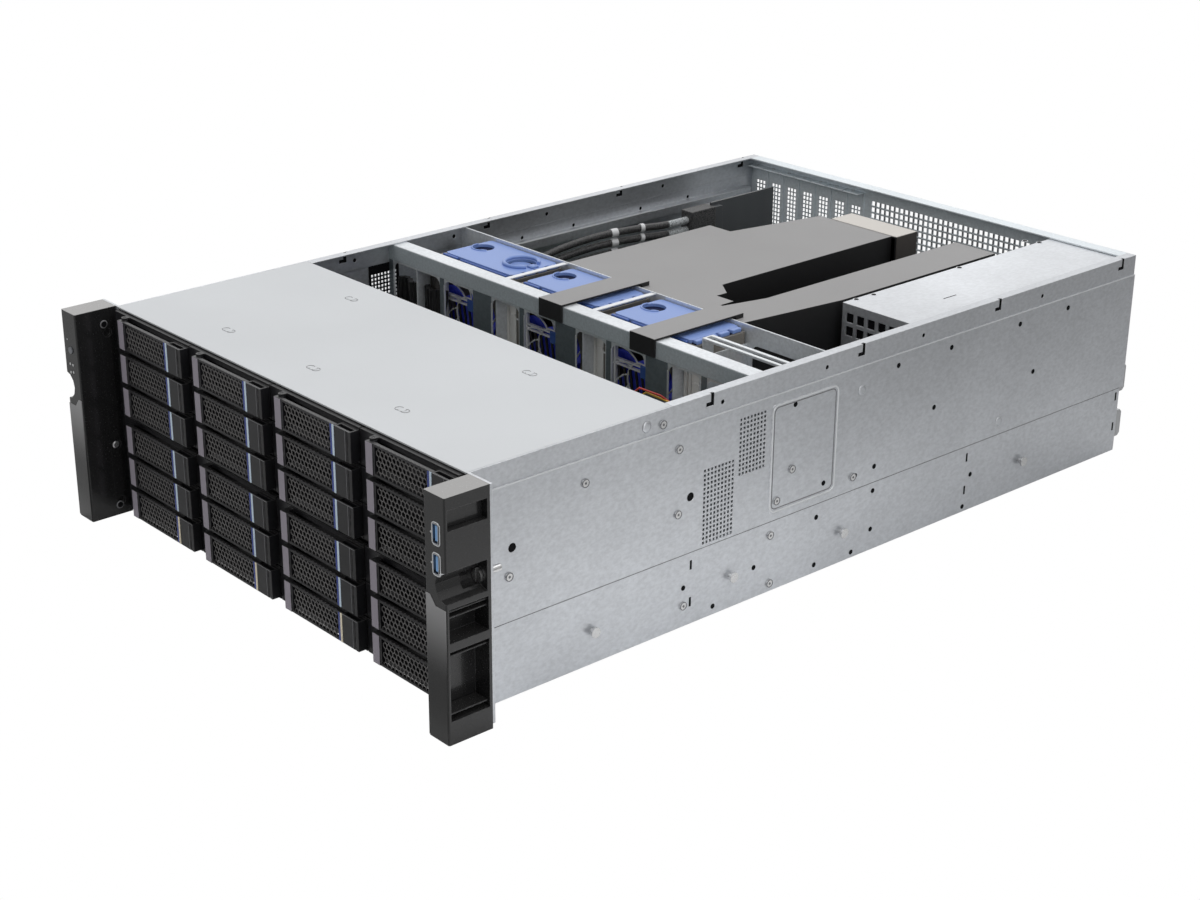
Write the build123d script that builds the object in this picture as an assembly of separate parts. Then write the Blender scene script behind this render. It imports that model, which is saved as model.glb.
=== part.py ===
from build123d import *
import math
import os

# Rack server, four units high, with twenty-four front drive bays and the rear cover off.
# Millimetres. X runs to the right seen from the front, the front faces -Y and Z is up.
# Places are worked out with y = 0 on the front plane of the ears and z = 0 at their foot.
# Every piece is moved along Y when it is written, so that the origin lies under the middle.

# Overall size
EAR_SPAN = 482.6
EAR_OUT = 21.3
BODY_DEPTH = 703.0
PAN_STEP = 5.0
BODY_TOP = 174.0
PAN_UNDERSIDE = 2.5
PAN_FLANGE_TOP = 58.9
FOOT_R = 12.0
FOOT_SIDE_INSET = 30.0
FOOT_FRONT_INSET = 40.0
FOOT_REAR_INSET = 38.0
SHEET = 1.2
HANDLE_OUT = 36.3
SMALL_SIDES = 12
LARGE_SIDES = 32
CORNER_STEPS = 3

# Side walls
LAP = 4.0
BAND_TALL = 16.5
BAND_INSET = 1.0
TOP_LIP = 7.0
HOOK_PLACES = [216, 371, 528]
HOOK_REAR_INSET = 17.0
HOOK_SIZE = 6.0
BAND_HOLE_PLACES = [226, 332, 438, 581]
BAND_HOLE_DOWN = 9.0
WALL_HOLE_PLACES = [
    (299, 145), (333, 74), (327, 48), (368, 70), (389, 72), (455, 103), (576, 103),
    (410, 148), (471, 148), (554, 148), (615, 148),
]
WALL_HOLE_R = 1.8
BIG_HOLE_PLACES = [(196, 102), (35, 112)]
BIG_HOLE_R = 3.4
VENT_BAR = 1.3
VENT_PITCH = 3.45
VENT_LOW_ROWS = 17
VENT_HIGH_ROWS = 13
VENT_LOW = (208.6, 238.35, 61.4)
VENT_HIGH = (243.0, 269.3, 104.6)
EMBOSS_Y = (275, 345)
EMBOSS_FOOT = 65.0
EMBOSS_DOWN = 24.0
EMBOSS_HEIGHT = 0.6
EMBOSS_CORNER = 4.0
EMBOSS_RIM = 1.5
LEDGE_Z = 146.0
LEDGE_WIDTH = 9.0
LEDGE_GAP = 0.5
LEDGE_TURN = 8.0

# Rack flange, with the screws that hold the server in a rack
FLANGE_THICK = 2.0
RACK_HOLE_INSET = 8.75
RACK_SCREW_Z = 109.2
RACK_SCREW_R = 2.5
RACK_SCREW_THREAD = 12.0
RACK_SCREW_NECK_R = 2.1
RACK_SCREW_NECK_GAP = 0.4
RACK_SCREW_HEAD_R = 5.0
RACK_SCREW_HEAD = 5.0
RACK_HOLE_CLEAR = 0.25

# Handles on the ears
HANDLE_WALL = 2.2
NOTCH_Z = 112.0
NOTCH_R = 11.0
POCKET_DEPTH = 15.0
POCKETS = [(17.0, 67.0), (73.0, 97.0)]
TOP_POCKET_DOWN = (23.0, 9.0)
TOP_POCKET_DEPTH = 7.0
SIDE_SCREW_PLACES = [(-9.0, 154.0), (-9.0, 60.0), (-9.0, 12.0)]
SIDE_SCREW_RECESS_R = 3.5

# Front ports and button
PORT_INSET = 9.3
PORT_PLACES = [147.5, 126.5]
PORT_WIDE = 6.0
PORT_TALL = 14.0
PORT_DEEP = 14.0
PORT_RIM = 0.5
BUTTON_INSET = 10.8
BUTTON_Z = 143.0
BUTTON_R = 2.8
BUTTON_GAP = 0.3
BUTTON_OUT = 0.9
BUTTON_LONG = 8.0

# Drive bays
BAY_COLUMNS = 4
BAY_ROWS = 6
BAY_SIDE_STEP = 4.6
BAY_TOP_GAP = 0.1
SHELF_GAP = 4.0
CAGE_SHEET = 1.0
CAGE_FRONT = 2.0
RUNNER_OUT = 2.3
RUNNER_THICK = 0.8
RUNNER_LIFT = 0.8

# Drive and carrier
DRIVE_CLEAR = 1.4
DRIVE_LENGTH = 147.0
DRIVE_START = 3.0
DRIVE_RECESS_SIDE = 12.0
DRIVE_RECESS_FRONT = 10.0
DRIVE_RECESS_REAR = 30.0
DRIVE_RECESS_DEEP = 1.0
RAIL_GAP = 1.05
RAIL_THICK = 2.0
RAIL_HEIGHT = 20.0
BEZEL_FRONT = -3.5
BEZEL_EDGE_GAP = 0.6
BEZEL_WINDOW_EDGE = 3.5
LEVER_FRONT = -11.0
LEVER_THICK = 3.0
LEVER_CLEAR = 4.6
LEVER_START = 17.0
STRIP_WIDTH = 8.0
STRIP_OUT = 0.4
LEVER_FRAME = 1.6
BLUE_ZONE = 5.0
BLOCK_WIDTH = 18.5
BLOCK_GAP = 0.4
BLOCK_HOLLOW = 3.6
BLOCK_WALL = 1.2
HINGE_R = 2.6
HINGE_GAP = 0.3
HINGE_PIN_R = 1.0
HINGE_PIN_CLEAR = 0.2
HINGE_PIN_OUT = 1.5

# Backplane
BACKPLANE_BEHIND = 4.0
BOARD_THICK = 2.0
BACKPLANE_EDGE = 2.0
SOCKET_WIDTH = 42.0
SOCKET_HEIGHT = 7.0
SOCKET_GAP = 0.3
BACKPLANE_SLOT_HEIGHT = 9.0
BACKPLANE_SLOT_EDGE = 14.0
POWER_PLUG_SIZE = (22.0, 12.0, 10.0)

# Front cover
COVER_OVER = 24.0
COVER_GAP = 0.3
COVER_LIP = 6.0

# Fan cage and fans
FAN_WALL_TO_REAR = 441.0
FAN_CAGE_DEPTH = 79.0
FAN_RAIL_DEPTH = 14.0
FAN_PITCH = 105.5
FAN_FIRST_INSET = 89.0
FAN_COUNT = 3
MODULE_WIDTH = 98.0
MODULE_DEPTH = 62.0
MODULE_GAP = 0.6
MODULE_DOWN = 7.0
MODULE_FOOT = 3.3
FAN_RIM = 2.0
FAN_HUB_R = 16.0
BLADE_COUNT = 7
BLADE_GAP = 1.0
BLADE_CHORD = 19.0
BLADE_THICK = 1.2
BLADE_PITCH = 52.0
ROTOR_DEPTH = 20.0
ROTOR_GAP = 0.3
SPIDER_ARM = 5.0
GUARD_THICK = 3.0
WINDOW_LEAD = 11.0
WINDOW_PITCH = 103.0
WINDOW_LEFT = (0.0, 38.0)
WINDOW_RIGHT = (62.0, 97.0)
WINDOW_FOOT = 12.0
WINDOW_CORNER = 6.0
UPRIGHT_DOWN = 16.0
TIE_WIDTH = 3.0
TIE_THICK = 2.0
TIE_PLACES = [31.0, 39.0]
SIDE_WINDOW_EDGE = 6.0
CAP_THICK = 3.0
CAP_WIDTH = 86.0
CAP_DEPTH = 50.0
CAP_HOLE_R = 10.0
CAP_HOLE_X = 20.0
CAP_CORNER = 3.0
RING_R = 11.0
RING_WIRE = 2.0

# Air shroud
SHROUD_DOWN = 3.0
SHROUD_SHEET = 1.5
DUCT_BEHIND_FANS = 4.0
DUCT_LEFT = -81.0
DUCT_STEP_X = -56.0
DUCT_STEP_AT = 163.0
DUCT_STEP_SLANT = 18.0
DUCT_LONG = 256.0
DUCT_RIGHT = 45.0
DUCT_NOTCH_X = 62.0
DUCT_NOTCH_AT = 53.0
DUCT_NOTCH_SLANT = 12.0
ARM_LEFT = 79.0
ARM_BEND_X = 92.0
ARM_BEND_AT = 55.0
ARM_SIDE_BEND_AT = 97.0
ARM_SIDE_BEND = 12.0
ARM_LONG = 283.0
ARM_SIDE_GAP = 6.9
BRIDGE_LONG = 30.0
ARM_SKIRT = 58.0
DUCT_SKIRT = 50.0
STRAP_WIDTH = 27.0
STRAP_LEADS = [6.5, 6.0]
STRAP_THICK = 1.5
STRAP_LIP = 13.0
STRAP_GAP = 0.3

# Duct end block behind the shroud
END_BLOCK_DEPTH = 26.0
END_BLOCK_SOLE = 10.0
END_BLOCK_SIDE = (-24.0, 50.0)

# Power supplies
PSU_CAGE_LONG = 269.0
PSU_WIDTH = 73.5
PSU_HEIGHT = 40.0
PSU_LENGTH = 185.0
PSU_COUNT = 2
PSU_GAP = 0.4
PSU_SHELF = 1.0
PSU_GRIP_OUT = 22.0
PSU_GRIP_WIRE = 4.0
PSU_LEVER_OUT = 12.0
PSU_LEVER_LONG = 24.0
PSU_LEVER_LIFT = 5.0
PSU_LEVER_INSET = 6.0
PSU_LEVER_THICK = 3.0
PSU_LEVER_GAP = 0.3
PSU_LEVER_TIP = 2.5
PSU_HOLE = 7.5
PSU_HOLE_PITCH = 10.8
PSU_HOLE_ROWS = 2
PSU_HOLE_COLUMNS = 6
PSU_FAN_R = 17.0
PSU_FAN_INSET = 22.0
PSU_FAN_DEEP = 12.0
PSU_HUB_R = 6.8
PSU_HUB_BACK = 3.0
PSU_INLET = (8.0, 30.0)
PSU_INLET_Z = (-9.0, 7.0)
PSU_INLET_DEEP = 10.0
PSU_INLET_RIM = 3.0
PSU_GRIP_INSET = 3.0
PSU_GRIP_LIFT = 6.0
PSU_EDGE_INSET = 20.0
PSU_EDGE_OUT = 8.0
PSU_EDGE_Z = (8.0, 10.0)

# Main board and what stands on it
BOARD_LIFT = 6.0
BOARD_BEHIND_FANS = 15.0
BOARD_REAR_GAP = 1.5
BOARD_SIDE_GAP = 3.0
STANDOFF_R = 3.0
SINK_WIDTH = 76.0
SINK_LENGTH = 108.0
SINK_BASE = 5.0
SINK_HEIGHT = 64.0
SINK_FIN = 1.6
SINK_FIN_COUNT = 13
SINK_PLACES = [(-30.0, 10.0), (4.0, 128.0)]
DIMM_LENGTH = 133.0
DIMM_THICK = 1.4
DIMM_HEIGHT = 31.0
DIMM_PITCH = 8.5
DIMM_SOCKET_WIDTH = 6.0
DIMM_SOCKET_HEIGHT = 7.0
DIMM_GROUPS = [(-98.0, 14.0, 4), (-98.0, 164.0, 4), (66.0, 14.0, 1), (66.0, 164.0, 1)]

# Riser card
RISER_LONG = 82.0
RISER_DOWN = 14.0
RISER_SOCKET = 9.0
RISER_SOCKET_TALL = 12.0

# Rear wall
SLOT_COUNT = 7
SLOT_PITCH = 20.32
SLOT_WIDTH = 14.0
SLOT_FIRST_INSET = 14.0
SLOT_DOWN = 8.0
SLOT_BOTTOM = 64.0
SLOT_COVER_WIDTH = 18.4
SLOT_COVER_THICK = 0.9
SLOT_COVER_TAB = 9.0
GRILLE_AFTER_SLOTS = 18.08
GRILLE_BEFORE_CAGE = 4.9
GRILLE_FOOT = 92.0
GRILLE_DOWN = 14.0
GRILLE_ROWS = 12
GRILLE_COLUMNS = 6
GRILLE_BAR = 1.6
REAR_LIP = 12.0
PORT_ROW = [(-150.0, 16.0, 14.0), (-120.0, 16.0, 14.0), (-92.0, 31.0, 12.5), (-52.0, 15.0, 15.0)]
PORT_ROW_DEPTH = 24.0
PORT_GAP = 0.3
PORT_WALL = 1.0
PORT_HOLLOW = 12.0

# Fasteners
STUD_PLACES = [105, 238, 355, 569]
STUD_Z = 28.0
STUD_NECK_R = 2.2
STUD_HEAD_R = 4.0
STUD_NECK = 3.0
STUD_HEAD = 1.6
SCREW_PLACES = [
    (98, 140), (184, 92), (169, 163), (32, 92), (298, 95), (283, 74), (365, 70), (278, 48),
    (191, 19), (279, 9), (184, 141),
]
SCREW_R = 3.0
SCREW_HEIGHT = 0.9

# Cable bundle along the left wall
CABLE_R = 3.2
CABLE_SIDE_STEP = 9.0
CABLE_COUNT = 3
CABLE_PLUG_WIDE = 14.0
CABLE_PLUG_LONG = 30.0
CABLE_PLUG_OVER = 5.0
CABLE_HEADER_DEEP = 9.0
CABLE_FIRST_PLUG = 18.0
CABLE_DIP_SHARE = 0.443

# Worked out from the sizes above
EAR_HALF = EAR_SPAN / 2
HALF = EAR_HALF - EAR_OUT
BODY_WIDTH = 2 * HALF
PAN_DEPTH = BODY_DEPTH - PAN_STEP
REAR_FACE = BODY_DEPTH - SHEET
PAN_FLOOR = PAN_UNDERSIDE + SHEET
WALL_IN = HALF - SHEET
LEG_IN = WALL_IN - SHEET
BAND_BOTTOM = BODY_TOP - BAND_TALL
BAND_OUT = HALF - BAND_INSET
BAND_IN = BAND_OUT - SHEET
BAND_HOLE_Z = BODY_TOP - BAND_HOLE_DOWN
COVER_UNDER = BODY_TOP - SHEET
RACK_HOLE_SPAN = EAR_SPAN - 2 * RACK_HOLE_INSET
PORT_X = EAR_HALF - PORT_INSET
BUTTON_X = BUTTON_INSET - EAR_HALF
CELL_WIDTH = (BODY_WIDTH - 2 * BAY_SIDE_STEP) / BAY_COLUMNS
CELL_HEIGHT = (COVER_UNDER - PAN_FLOOR - SHELF_GAP - BAY_TOP_GAP) / BAY_ROWS
BAY_LEFT = BAY_SIDE_STEP - HALF
DRIVE_WIDTH = CELL_WIDTH - 2 * (RAIL_GAP + RAIL_THICK)
DRIVE_HEIGHT = CELL_HEIGHT - DRIVE_CLEAR
DRIVE_BOTTOM = DRIVE_CLEAR / 2
DRIVE_END = DRIVE_START + DRIVE_LENGTH
RUNNER_TOP = RUNNER_LIFT + RUNNER_THICK
LEVER_BOTTOM = LEVER_CLEAR / 2
LEVER_TOP = CELL_HEIGHT - LEVER_BOTTOM
LEVER_END = CELL_WIDTH - BLOCK_GAP - BLOCK_WIDTH - BLOCK_GAP
LEVER_BACK = LEVER_FRONT + LEVER_THICK
HINGE_X = LEVER_START + HINGE_R
HINGE_Y = BEZEL_FRONT - HINGE_GAP - HINGE_R
BACKPLANE_Y = DRIVE_END + BACKPLANE_BEHIND
BACKPLANE_BACK = BACKPLANE_Y + BOARD_THICK
COVER_DEPTH = BACKPLANE_Y + COVER_OVER
FAN_WALL_Y = BODY_DEPTH - FAN_WALL_TO_REAR
FAN_CAGE_END = FAN_WALL_Y + FAN_CAGE_DEPTH
FAN_FIRST_X = FAN_FIRST_INSET - HALF
WINDOW_FIRST_X = FAN_FIRST_X - WINDOW_LEAD
MODULE_FRONT = FAN_WALL_Y + FAN_RAIL_DEPTH + MODULE_GAP
MODULE_END = MODULE_FRONT + MODULE_DEPTH
MODULE_TOP = BODY_TOP - MODULE_DOWN
FAN_SIZE = (MODULE_TOP - PAN_FLOOR - MODULE_FOOT) / 2
FAN_BORE_R = FAN_SIZE / 2 - FAN_RIM
ROTOR_Y = MODULE_FRONT + MODULE_DEPTH / 3
UPRIGHT_TOP = BODY_TOP - UPRIGHT_DOWN
BOARD_BOTTOM = PAN_FLOOR + BOARD_LIFT
BOARD_TOP = BOARD_BOTTOM + BOARD_THICK
BOARD_FRONT = FAN_CAGE_END + BOARD_BEHIND_FANS
BOARD_REAR = PAN_DEPTH - 2 * SHEET - BOARD_REAR_GAP
PSU_RIGHT = LEG_IN - SHEET - PSU_GAP
PSU_LEFT = PSU_RIGHT - PSU_WIDTH
PSU_CAGE_LEFT = PSU_LEFT - PSU_GAP - SHEET
PSU_CAGE_RIGHT = LEG_IN
PSU_CAGE_FRONT = BODY_DEPTH - PSU_CAGE_LONG
PSU_FLOOR = PAN_FLOOR + PSU_SHELF
SHROUD_TOP = BODY_TOP - SHROUD_DOWN
DUCT_FRONT = FAN_CAGE_END + DUCT_BEHIND_FANS
DUCT_REAR = DUCT_FRONT + DUCT_LONG
ARM_REAR = DUCT_FRONT + ARM_LONG
ARM_RIGHT = PSU_CAGE_LEFT - ARM_SIDE_GAP
RISER_TOP = BODY_TOP - RISER_DOWN
SLOT_FIRST_X = SLOT_FIRST_INSET - HALF
SLOT_TOP = BODY_TOP - SLOT_DOWN
Y_SHIFT = (HANDLE_OUT + BUTTON_OUT - BODY_DEPTH - PSU_GRIP_OUT) / 2

os.makedirs("parts", exist_ok=True)


def block(x0, x1, y0, y1, z0, z1):
    centre = Pos((x0 + x1) / 2, (y0 + y1) / 2, (z0 + z1) / 2)
    return centre * Box(x1 - x0, y1 - y0, z1 - z0)


def round_bar(radius, length, true_round):
    """Bar along Z from its own origin, with flat sides unless another piece turns or fits on it."""
    if true_round:
        return extrude(Circle(radius), length)
    sides = SMALL_SIDES if radius < FOOT_R else LARGE_SIDES
    return extrude(RegularPolygon(radius, sides), length)


def rod_x(x0, x1, y, z, radius):
    return Pos(x0, y, z) * Rot(0, 90, 0) * round_bar(radius, x1 - x0, False)


def rod_y(x, y0, y1, z, radius, true_round=False):
    return Pos(x, y0, z) * Rot(-90, 0, 0) * round_bar(radius, y1 - y0, true_round)


def rod_z(x, y, z0, z1, radius, true_round=False):
    return Pos(x, y, z0) * round_bar(radius, z1 - z0, true_round)


def oval_points(wide, tall, count):
    turns = [2 * math.pi * k / count for k in range(count)]
    return [(wide * math.cos(turn), tall * math.sin(turn)) for turn in turns]


def rounded_points(width, height, corner):
    """Outline of a rectangle about its middle, with each corner turned in a few steps."""
    points = []
    for quarter, (sx, sy) in enumerate(((1, 1), (-1, 1), (-1, -1), (1, -1))):
        cx = sx * (width / 2 - corner)
        cy = sy * (height / 2 - corner)
        for step in range(CORNER_STEPS + 1):
            turn = math.pi / 2 * (quarter + step / CORNER_STEPS)
            points.append((cx + corner * math.cos(turn), cy + corner * math.sin(turn)))
    return points


def outline_face(points):
    return make_face(Polyline(*points, close=True))


def flat_prism(points, z0, z1):
    return Pos(0, 0, z0) * extrude(outline_face(points), z1 - z0)


def mirrored(shape):
    return mirror(shape, about=Plane.YZ)


def solids_of(shapes):
    found = []
    for shape in shapes:
        found.extend(shape.solids())
    return found


def write(name, *shapes):
    moved = [Pos(0, Y_SHIFT, 0) * solid for solid in solids_of(shapes)]
    whole = moved[0] if len(moved) == 1 else Compound(children=moved)
    export_step(whole, f"parts/{name}.step")


def cell_place(column, row):
    """Left lower corner of a bay, row 0 at the bottom."""
    lift = SHELF_GAP if row >= BAY_ROWS / 2 else 0
    return BAY_LEFT + column * CELL_WIDTH, PAN_FLOOR + row * CELL_HEIGHT + lift


# Base pan with its outer side flanges
def base_pan():
    floor = block(-HALF, HALF, 0, PAN_DEPTH, PAN_UNDERSIDE, PAN_FLOOR)
    right = block(WALL_IN, HALF, 0, PAN_DEPTH, PAN_FLOOR, PAN_FLANGE_TOP)
    rear = block(-WALL_IN, PSU_CAGE_LEFT, PAN_DEPTH - SHEET, PAN_DEPTH, PAN_UNDERSIDE, BOARD_BOTTOM)
    bosses = []
    foot_x = HALF - FOOT_SIDE_INSET
    for y in (FOOT_FRONT_INSET, PAN_DEPTH - FOOT_REAR_INSET):
        for side in (-foot_x, foot_x):
            bosses.append(rod_z(side, y, 0, PAN_FLOOR - SHEET / 2, FOOT_R, True))
    for x in board_post_places():
        for y in (BOARD_FRONT + 12, (BOARD_FRONT + BOARD_REAR) / 2, BOARD_REAR - 12):
            bosses.append(rod_z(x, y, PAN_FLOOR - SHEET / 2, BOARD_BOTTOM, STANDOFF_R))
    return floor + [right, mirrored(right), rear] + bosses


def board_sides():
    return -LEG_IN + BOARD_SIDE_GAP, PSU_CAGE_LEFT - BOARD_SIDE_GAP


def board_post_places():
    left, right = board_sides()
    return [left + 10, (left + right) / 2, right - 10]


# One side wall: outer panel, inset band at the top, inner leg inside the pan flange
def hook_notch(y):
    slot = block(BAND_IN - 1, HALF + 1, y - 1.6, y + 1.6, BAND_HOLE_Z, BODY_TOP + 1)
    hook = block(BAND_IN - 1, HALF + 1, y - HOOK_SIZE, y + 1.6,
                 BAND_HOLE_Z, BAND_HOLE_Z + 3.0)
    return [slot, hook]


def vent_slots(area, rows):
    front, rear, bottom = area
    slots = []
    for row in range(rows):
        z = bottom + row * VENT_PITCH
        slots.append(block(LEG_IN - 1, HALF + 1, front, rear, z, z + VENT_PITCH - VENT_BAR))
    return slots


def embossed_panel():
    y0, y1 = EMBOSS_Y
    z0, z1 = EMBOSS_FOOT, BODY_TOP - EMBOSS_DOWN
    plane = Plane(origin=(HALF, (y0 + y1) / 2, (z0 + z1) / 2), x_dir=(0, 1, 0), z_dir=(1, 0, 0))
    wide, tall = y1 - y0, z1 - z0
    rim = 2 * EMBOSS_RIM
    outer = outline_face(rounded_points(wide, tall, EMBOSS_CORNER))
    inner = outline_face(rounded_points(wide - rim, tall - rim, EMBOSS_CORNER - EMBOSS_RIM))
    return extrude(plane * (outer - inner), EMBOSS_HEIGHT)


def side_wall():
    panel = block(WALL_IN, HALF, FLANGE_THICK, BODY_DEPTH, PAN_FLANGE_TOP, BAND_BOTTOM)
    band = block(BAND_IN, BAND_OUT, FLANGE_THICK, BODY_DEPTH, BAND_BOTTOM - SHEET, BODY_TOP)
    lip = block(BAND_IN - TOP_LIP, BAND_OUT, COVER_DEPTH + COVER_GAP, BODY_DEPTH, COVER_UNDER, BODY_TOP)
    leg = block(LEG_IN, WALL_IN, FLANGE_THICK, PAN_DEPTH - SHEET, PAN_FLOOR, PAN_FLANGE_TOP + LAP)
    flange = block(LEG_IN, EAR_HALF, 0, FLANGE_THICK, PAN_FLANGE_TOP, BODY_TOP)
    flange_foot = block(HALF, EAR_HALF, 0, FLANGE_THICK, PAN_FLOOR, PAN_FLANGE_TOP)
    wall = panel + [band, lip, leg, flange, flange_foot, embossed_panel()]
    cuts = vent_slots(VENT_LOW, VENT_LOW_ROWS) + vent_slots(VENT_HIGH, VENT_HIGH_ROWS)
    for y in HOOK_PLACES + [BODY_DEPTH - HOOK_REAR_INSET]:
        cuts.extend(hook_notch(y))
    for y in BAND_HOLE_PLACES:
        cuts.append(rod_x(BAND_IN - 1, HALF + 1, y, BAND_HOLE_Z, WALL_HOLE_R))
    for y, z in WALL_HOLE_PLACES:
        cuts.append(rod_x(LEG_IN - 1, HALF + 1, y, z, WALL_HOLE_R))
    for y, z in BIG_HOLE_PLACES:
        cuts.append(rod_x(LEG_IN - 1, HALF + 1, y, z, BIG_HOLE_R))
    screw_hole = RACK_SCREW_R + RACK_HOLE_CLEAR
    cuts.append(rod_y(RACK_HOLE_SPAN / 2, -1, FLANGE_THICK + 1, RACK_SCREW_Z, screw_hole, True))
    return wall - cuts


def left_wall_ledge():
    start = FAN_CAGE_END + LEDGE_GAP
    end = REAR_FACE - SLOT_COVER_TAB - 2
    inner = -WALL_IN + LEDGE_WIDTH
    ledge = block(-WALL_IN, inner, start, end, LEDGE_Z - SHEET, LEDGE_Z)
    turn = block(inner - SHEET, inner, start, end, LEDGE_Z - LEDGE_TURN, LEDGE_Z)
    return ledge + turn


# Front cover over the drive cage
def front_cover():
    side = BAND_IN - COVER_GAP
    plate = block(-side, side, 0, COVER_DEPTH, COVER_UNDER, BODY_TOP)
    lip = block(-side, side, COVER_DEPTH - SHEET, COVER_DEPTH, BODY_TOP - COVER_LIP, BODY_TOP)
    return plate + lip


# Ear handles
def handle_shell():
    inner = LEG_IN + SHEET * 2 + COVER_GAP
    body = block(inner, EAR_HALF, -HANDLE_OUT, 0, 0, BODY_TOP)
    front_edges = body.edges().filter_by(Axis.Z).group_by(Axis.Y)[0]
    body = fillet(front_edges, 1.2)
    cuts = [rod_y(EAR_HALF, -HANDLE_OUT - 1, -3, NOTCH_Z, NOTCH_R)]
    for low, high in POCKETS:
        cuts.append(block(EAR_HALF - POCKET_DEPTH, EAR_HALF + 1,
                          -HANDLE_OUT + HANDLE_WALL, -HANDLE_WALL, low, high))
    low, high = [BODY_TOP - down for down in TOP_POCKET_DOWN]
    cuts.append(block(EAR_HALF - TOP_POCKET_DEPTH, EAR_HALF + 1,
                      -HANDLE_OUT + HANDLE_WALL, -HANDLE_WALL, low, high))
    for y, z in SIDE_SCREW_PLACES:
        cuts.append(rod_x(inner - 1, inner + 2.5, y, z, SIDE_SCREW_RECESS_R))
    screw_x = RACK_HOLE_SPAN / 2
    cuts.append(rod_y(screw_x, -RACK_SCREW_HEAD - 12, 1, RACK_SCREW_Z, RACK_SCREW_HEAD_R + 0.5))
    return body - cuts


def left_handle():
    shell = mirrored(handle_shell())
    hole = rod_y(BUTTON_X, -HANDLE_OUT - 1, -HANDLE_OUT + BUTTON_LONG + 3, BUTTON_Z, BUTTON_R + BUTTON_GAP)
    return shell - hole


def right_handle():
    shell = handle_shell()
    cuts = []
    for z in PORT_PLACES:
        cuts.append(block(PORT_X - PORT_WIDE / 2, PORT_X + PORT_WIDE / 2, -HANDLE_OUT - 1,
                          -HANDLE_OUT + PORT_DEEP, z - PORT_TALL / 2, z + PORT_TALL / 2))
    return shell - cuts


def power_button():
    return rod_y(BUTTON_X, -HANDLE_OUT - BUTTON_OUT, -HANDLE_OUT - BUTTON_OUT + BUTTON_LONG,
                 BUTTON_Z, BUTTON_R)


def front_ports():
    parts = []
    for z in PORT_PLACES:
        shell = block(PORT_X - PORT_WIDE / 2, PORT_X + PORT_WIDE / 2, -HANDLE_OUT - 0.3,
                      -HANDLE_OUT + PORT_DEEP, z - PORT_TALL / 2, z + PORT_TALL / 2)
        hollow = block(PORT_X - PORT_WIDE / 2 + PORT_RIM, PORT_X + PORT_WIDE / 2 - PORT_RIM,
                       -HANDLE_OUT - 1, -HANDLE_OUT + PORT_DEEP - 1,
                       z - PORT_TALL / 2 + PORT_RIM, z + PORT_TALL / 2 - PORT_RIM)
        tongue = block(PORT_X + 0.4, PORT_X + 2.2, -HANDLE_OUT + 1, -HANDLE_OUT + PORT_DEEP - 1,
                       z - PORT_TALL / 2 + 1.5, z + PORT_TALL / 2 - 1.5)
        parts.append(shell - hollow + tongue)
    return parts


def rack_screws():
    """Captive screws: a thin neck in the flange's hole and the full thread behind it."""
    screws = []
    thread_start = FLANGE_THICK + RACK_SCREW_NECK_GAP
    for side in (-1, 1):
        x = side * RACK_HOLE_SPAN / 2
        head = rod_y(x, -RACK_SCREW_HEAD, 0, RACK_SCREW_Z, RACK_SCREW_HEAD_R)
        neck = rod_y(x, -1, thread_start, RACK_SCREW_Z, RACK_SCREW_NECK_R)
        shank = rod_y(x, thread_start, thread_start + RACK_SCREW_THREAD, RACK_SCREW_Z, RACK_SCREW_R, True)
        slot = block(x - 0.7, x + 0.7, -RACK_SCREW_HEAD - 1, -RACK_SCREW_HEAD + 1.5,
                     RACK_SCREW_Z - RACK_SCREW_HEAD_R, RACK_SCREW_Z + RACK_SCREW_HEAD_R)
        screws.append(head + [neck, shank] - slot)
    return screws


# Cage of the drive bays: upright plates with runners, and the middle shelf
def drive_cage():
    plates = []
    top = COVER_UNDER
    half_sheet = CAGE_SHEET / 2
    for k in range(BAY_COLUMNS + 1):
        x = BAY_LEFT + k * CELL_WIDTH
        plates.append(block(x - half_sheet, x + half_sheet, CAGE_FRONT, BACKPLANE_Y, PAN_FLOOR, top))
        for row in range(BAY_ROWS):
            z = cell_place(0, row)[1]
            left = x - half_sheet - RUNNER_OUT if k > 0 else x
            right = x + half_sheet + RUNNER_OUT if k < BAY_COLUMNS else x
            plates.append(block(left, right, CAGE_FRONT, DRIVE_END, z + RUNNER_LIFT, z + RUNNER_TOP))
    shelf_low = PAN_FLOOR + BAY_ROWS / 2 * CELL_HEIGHT + SHELF_GAP / 2 - half_sheet
    shelf = block(BAY_LEFT, -BAY_LEFT, CAGE_FRONT, BACKPLANE_Y, shelf_low, shelf_low + CAGE_SHEET)
    return plates[0] + plates[1:] + shelf


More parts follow.
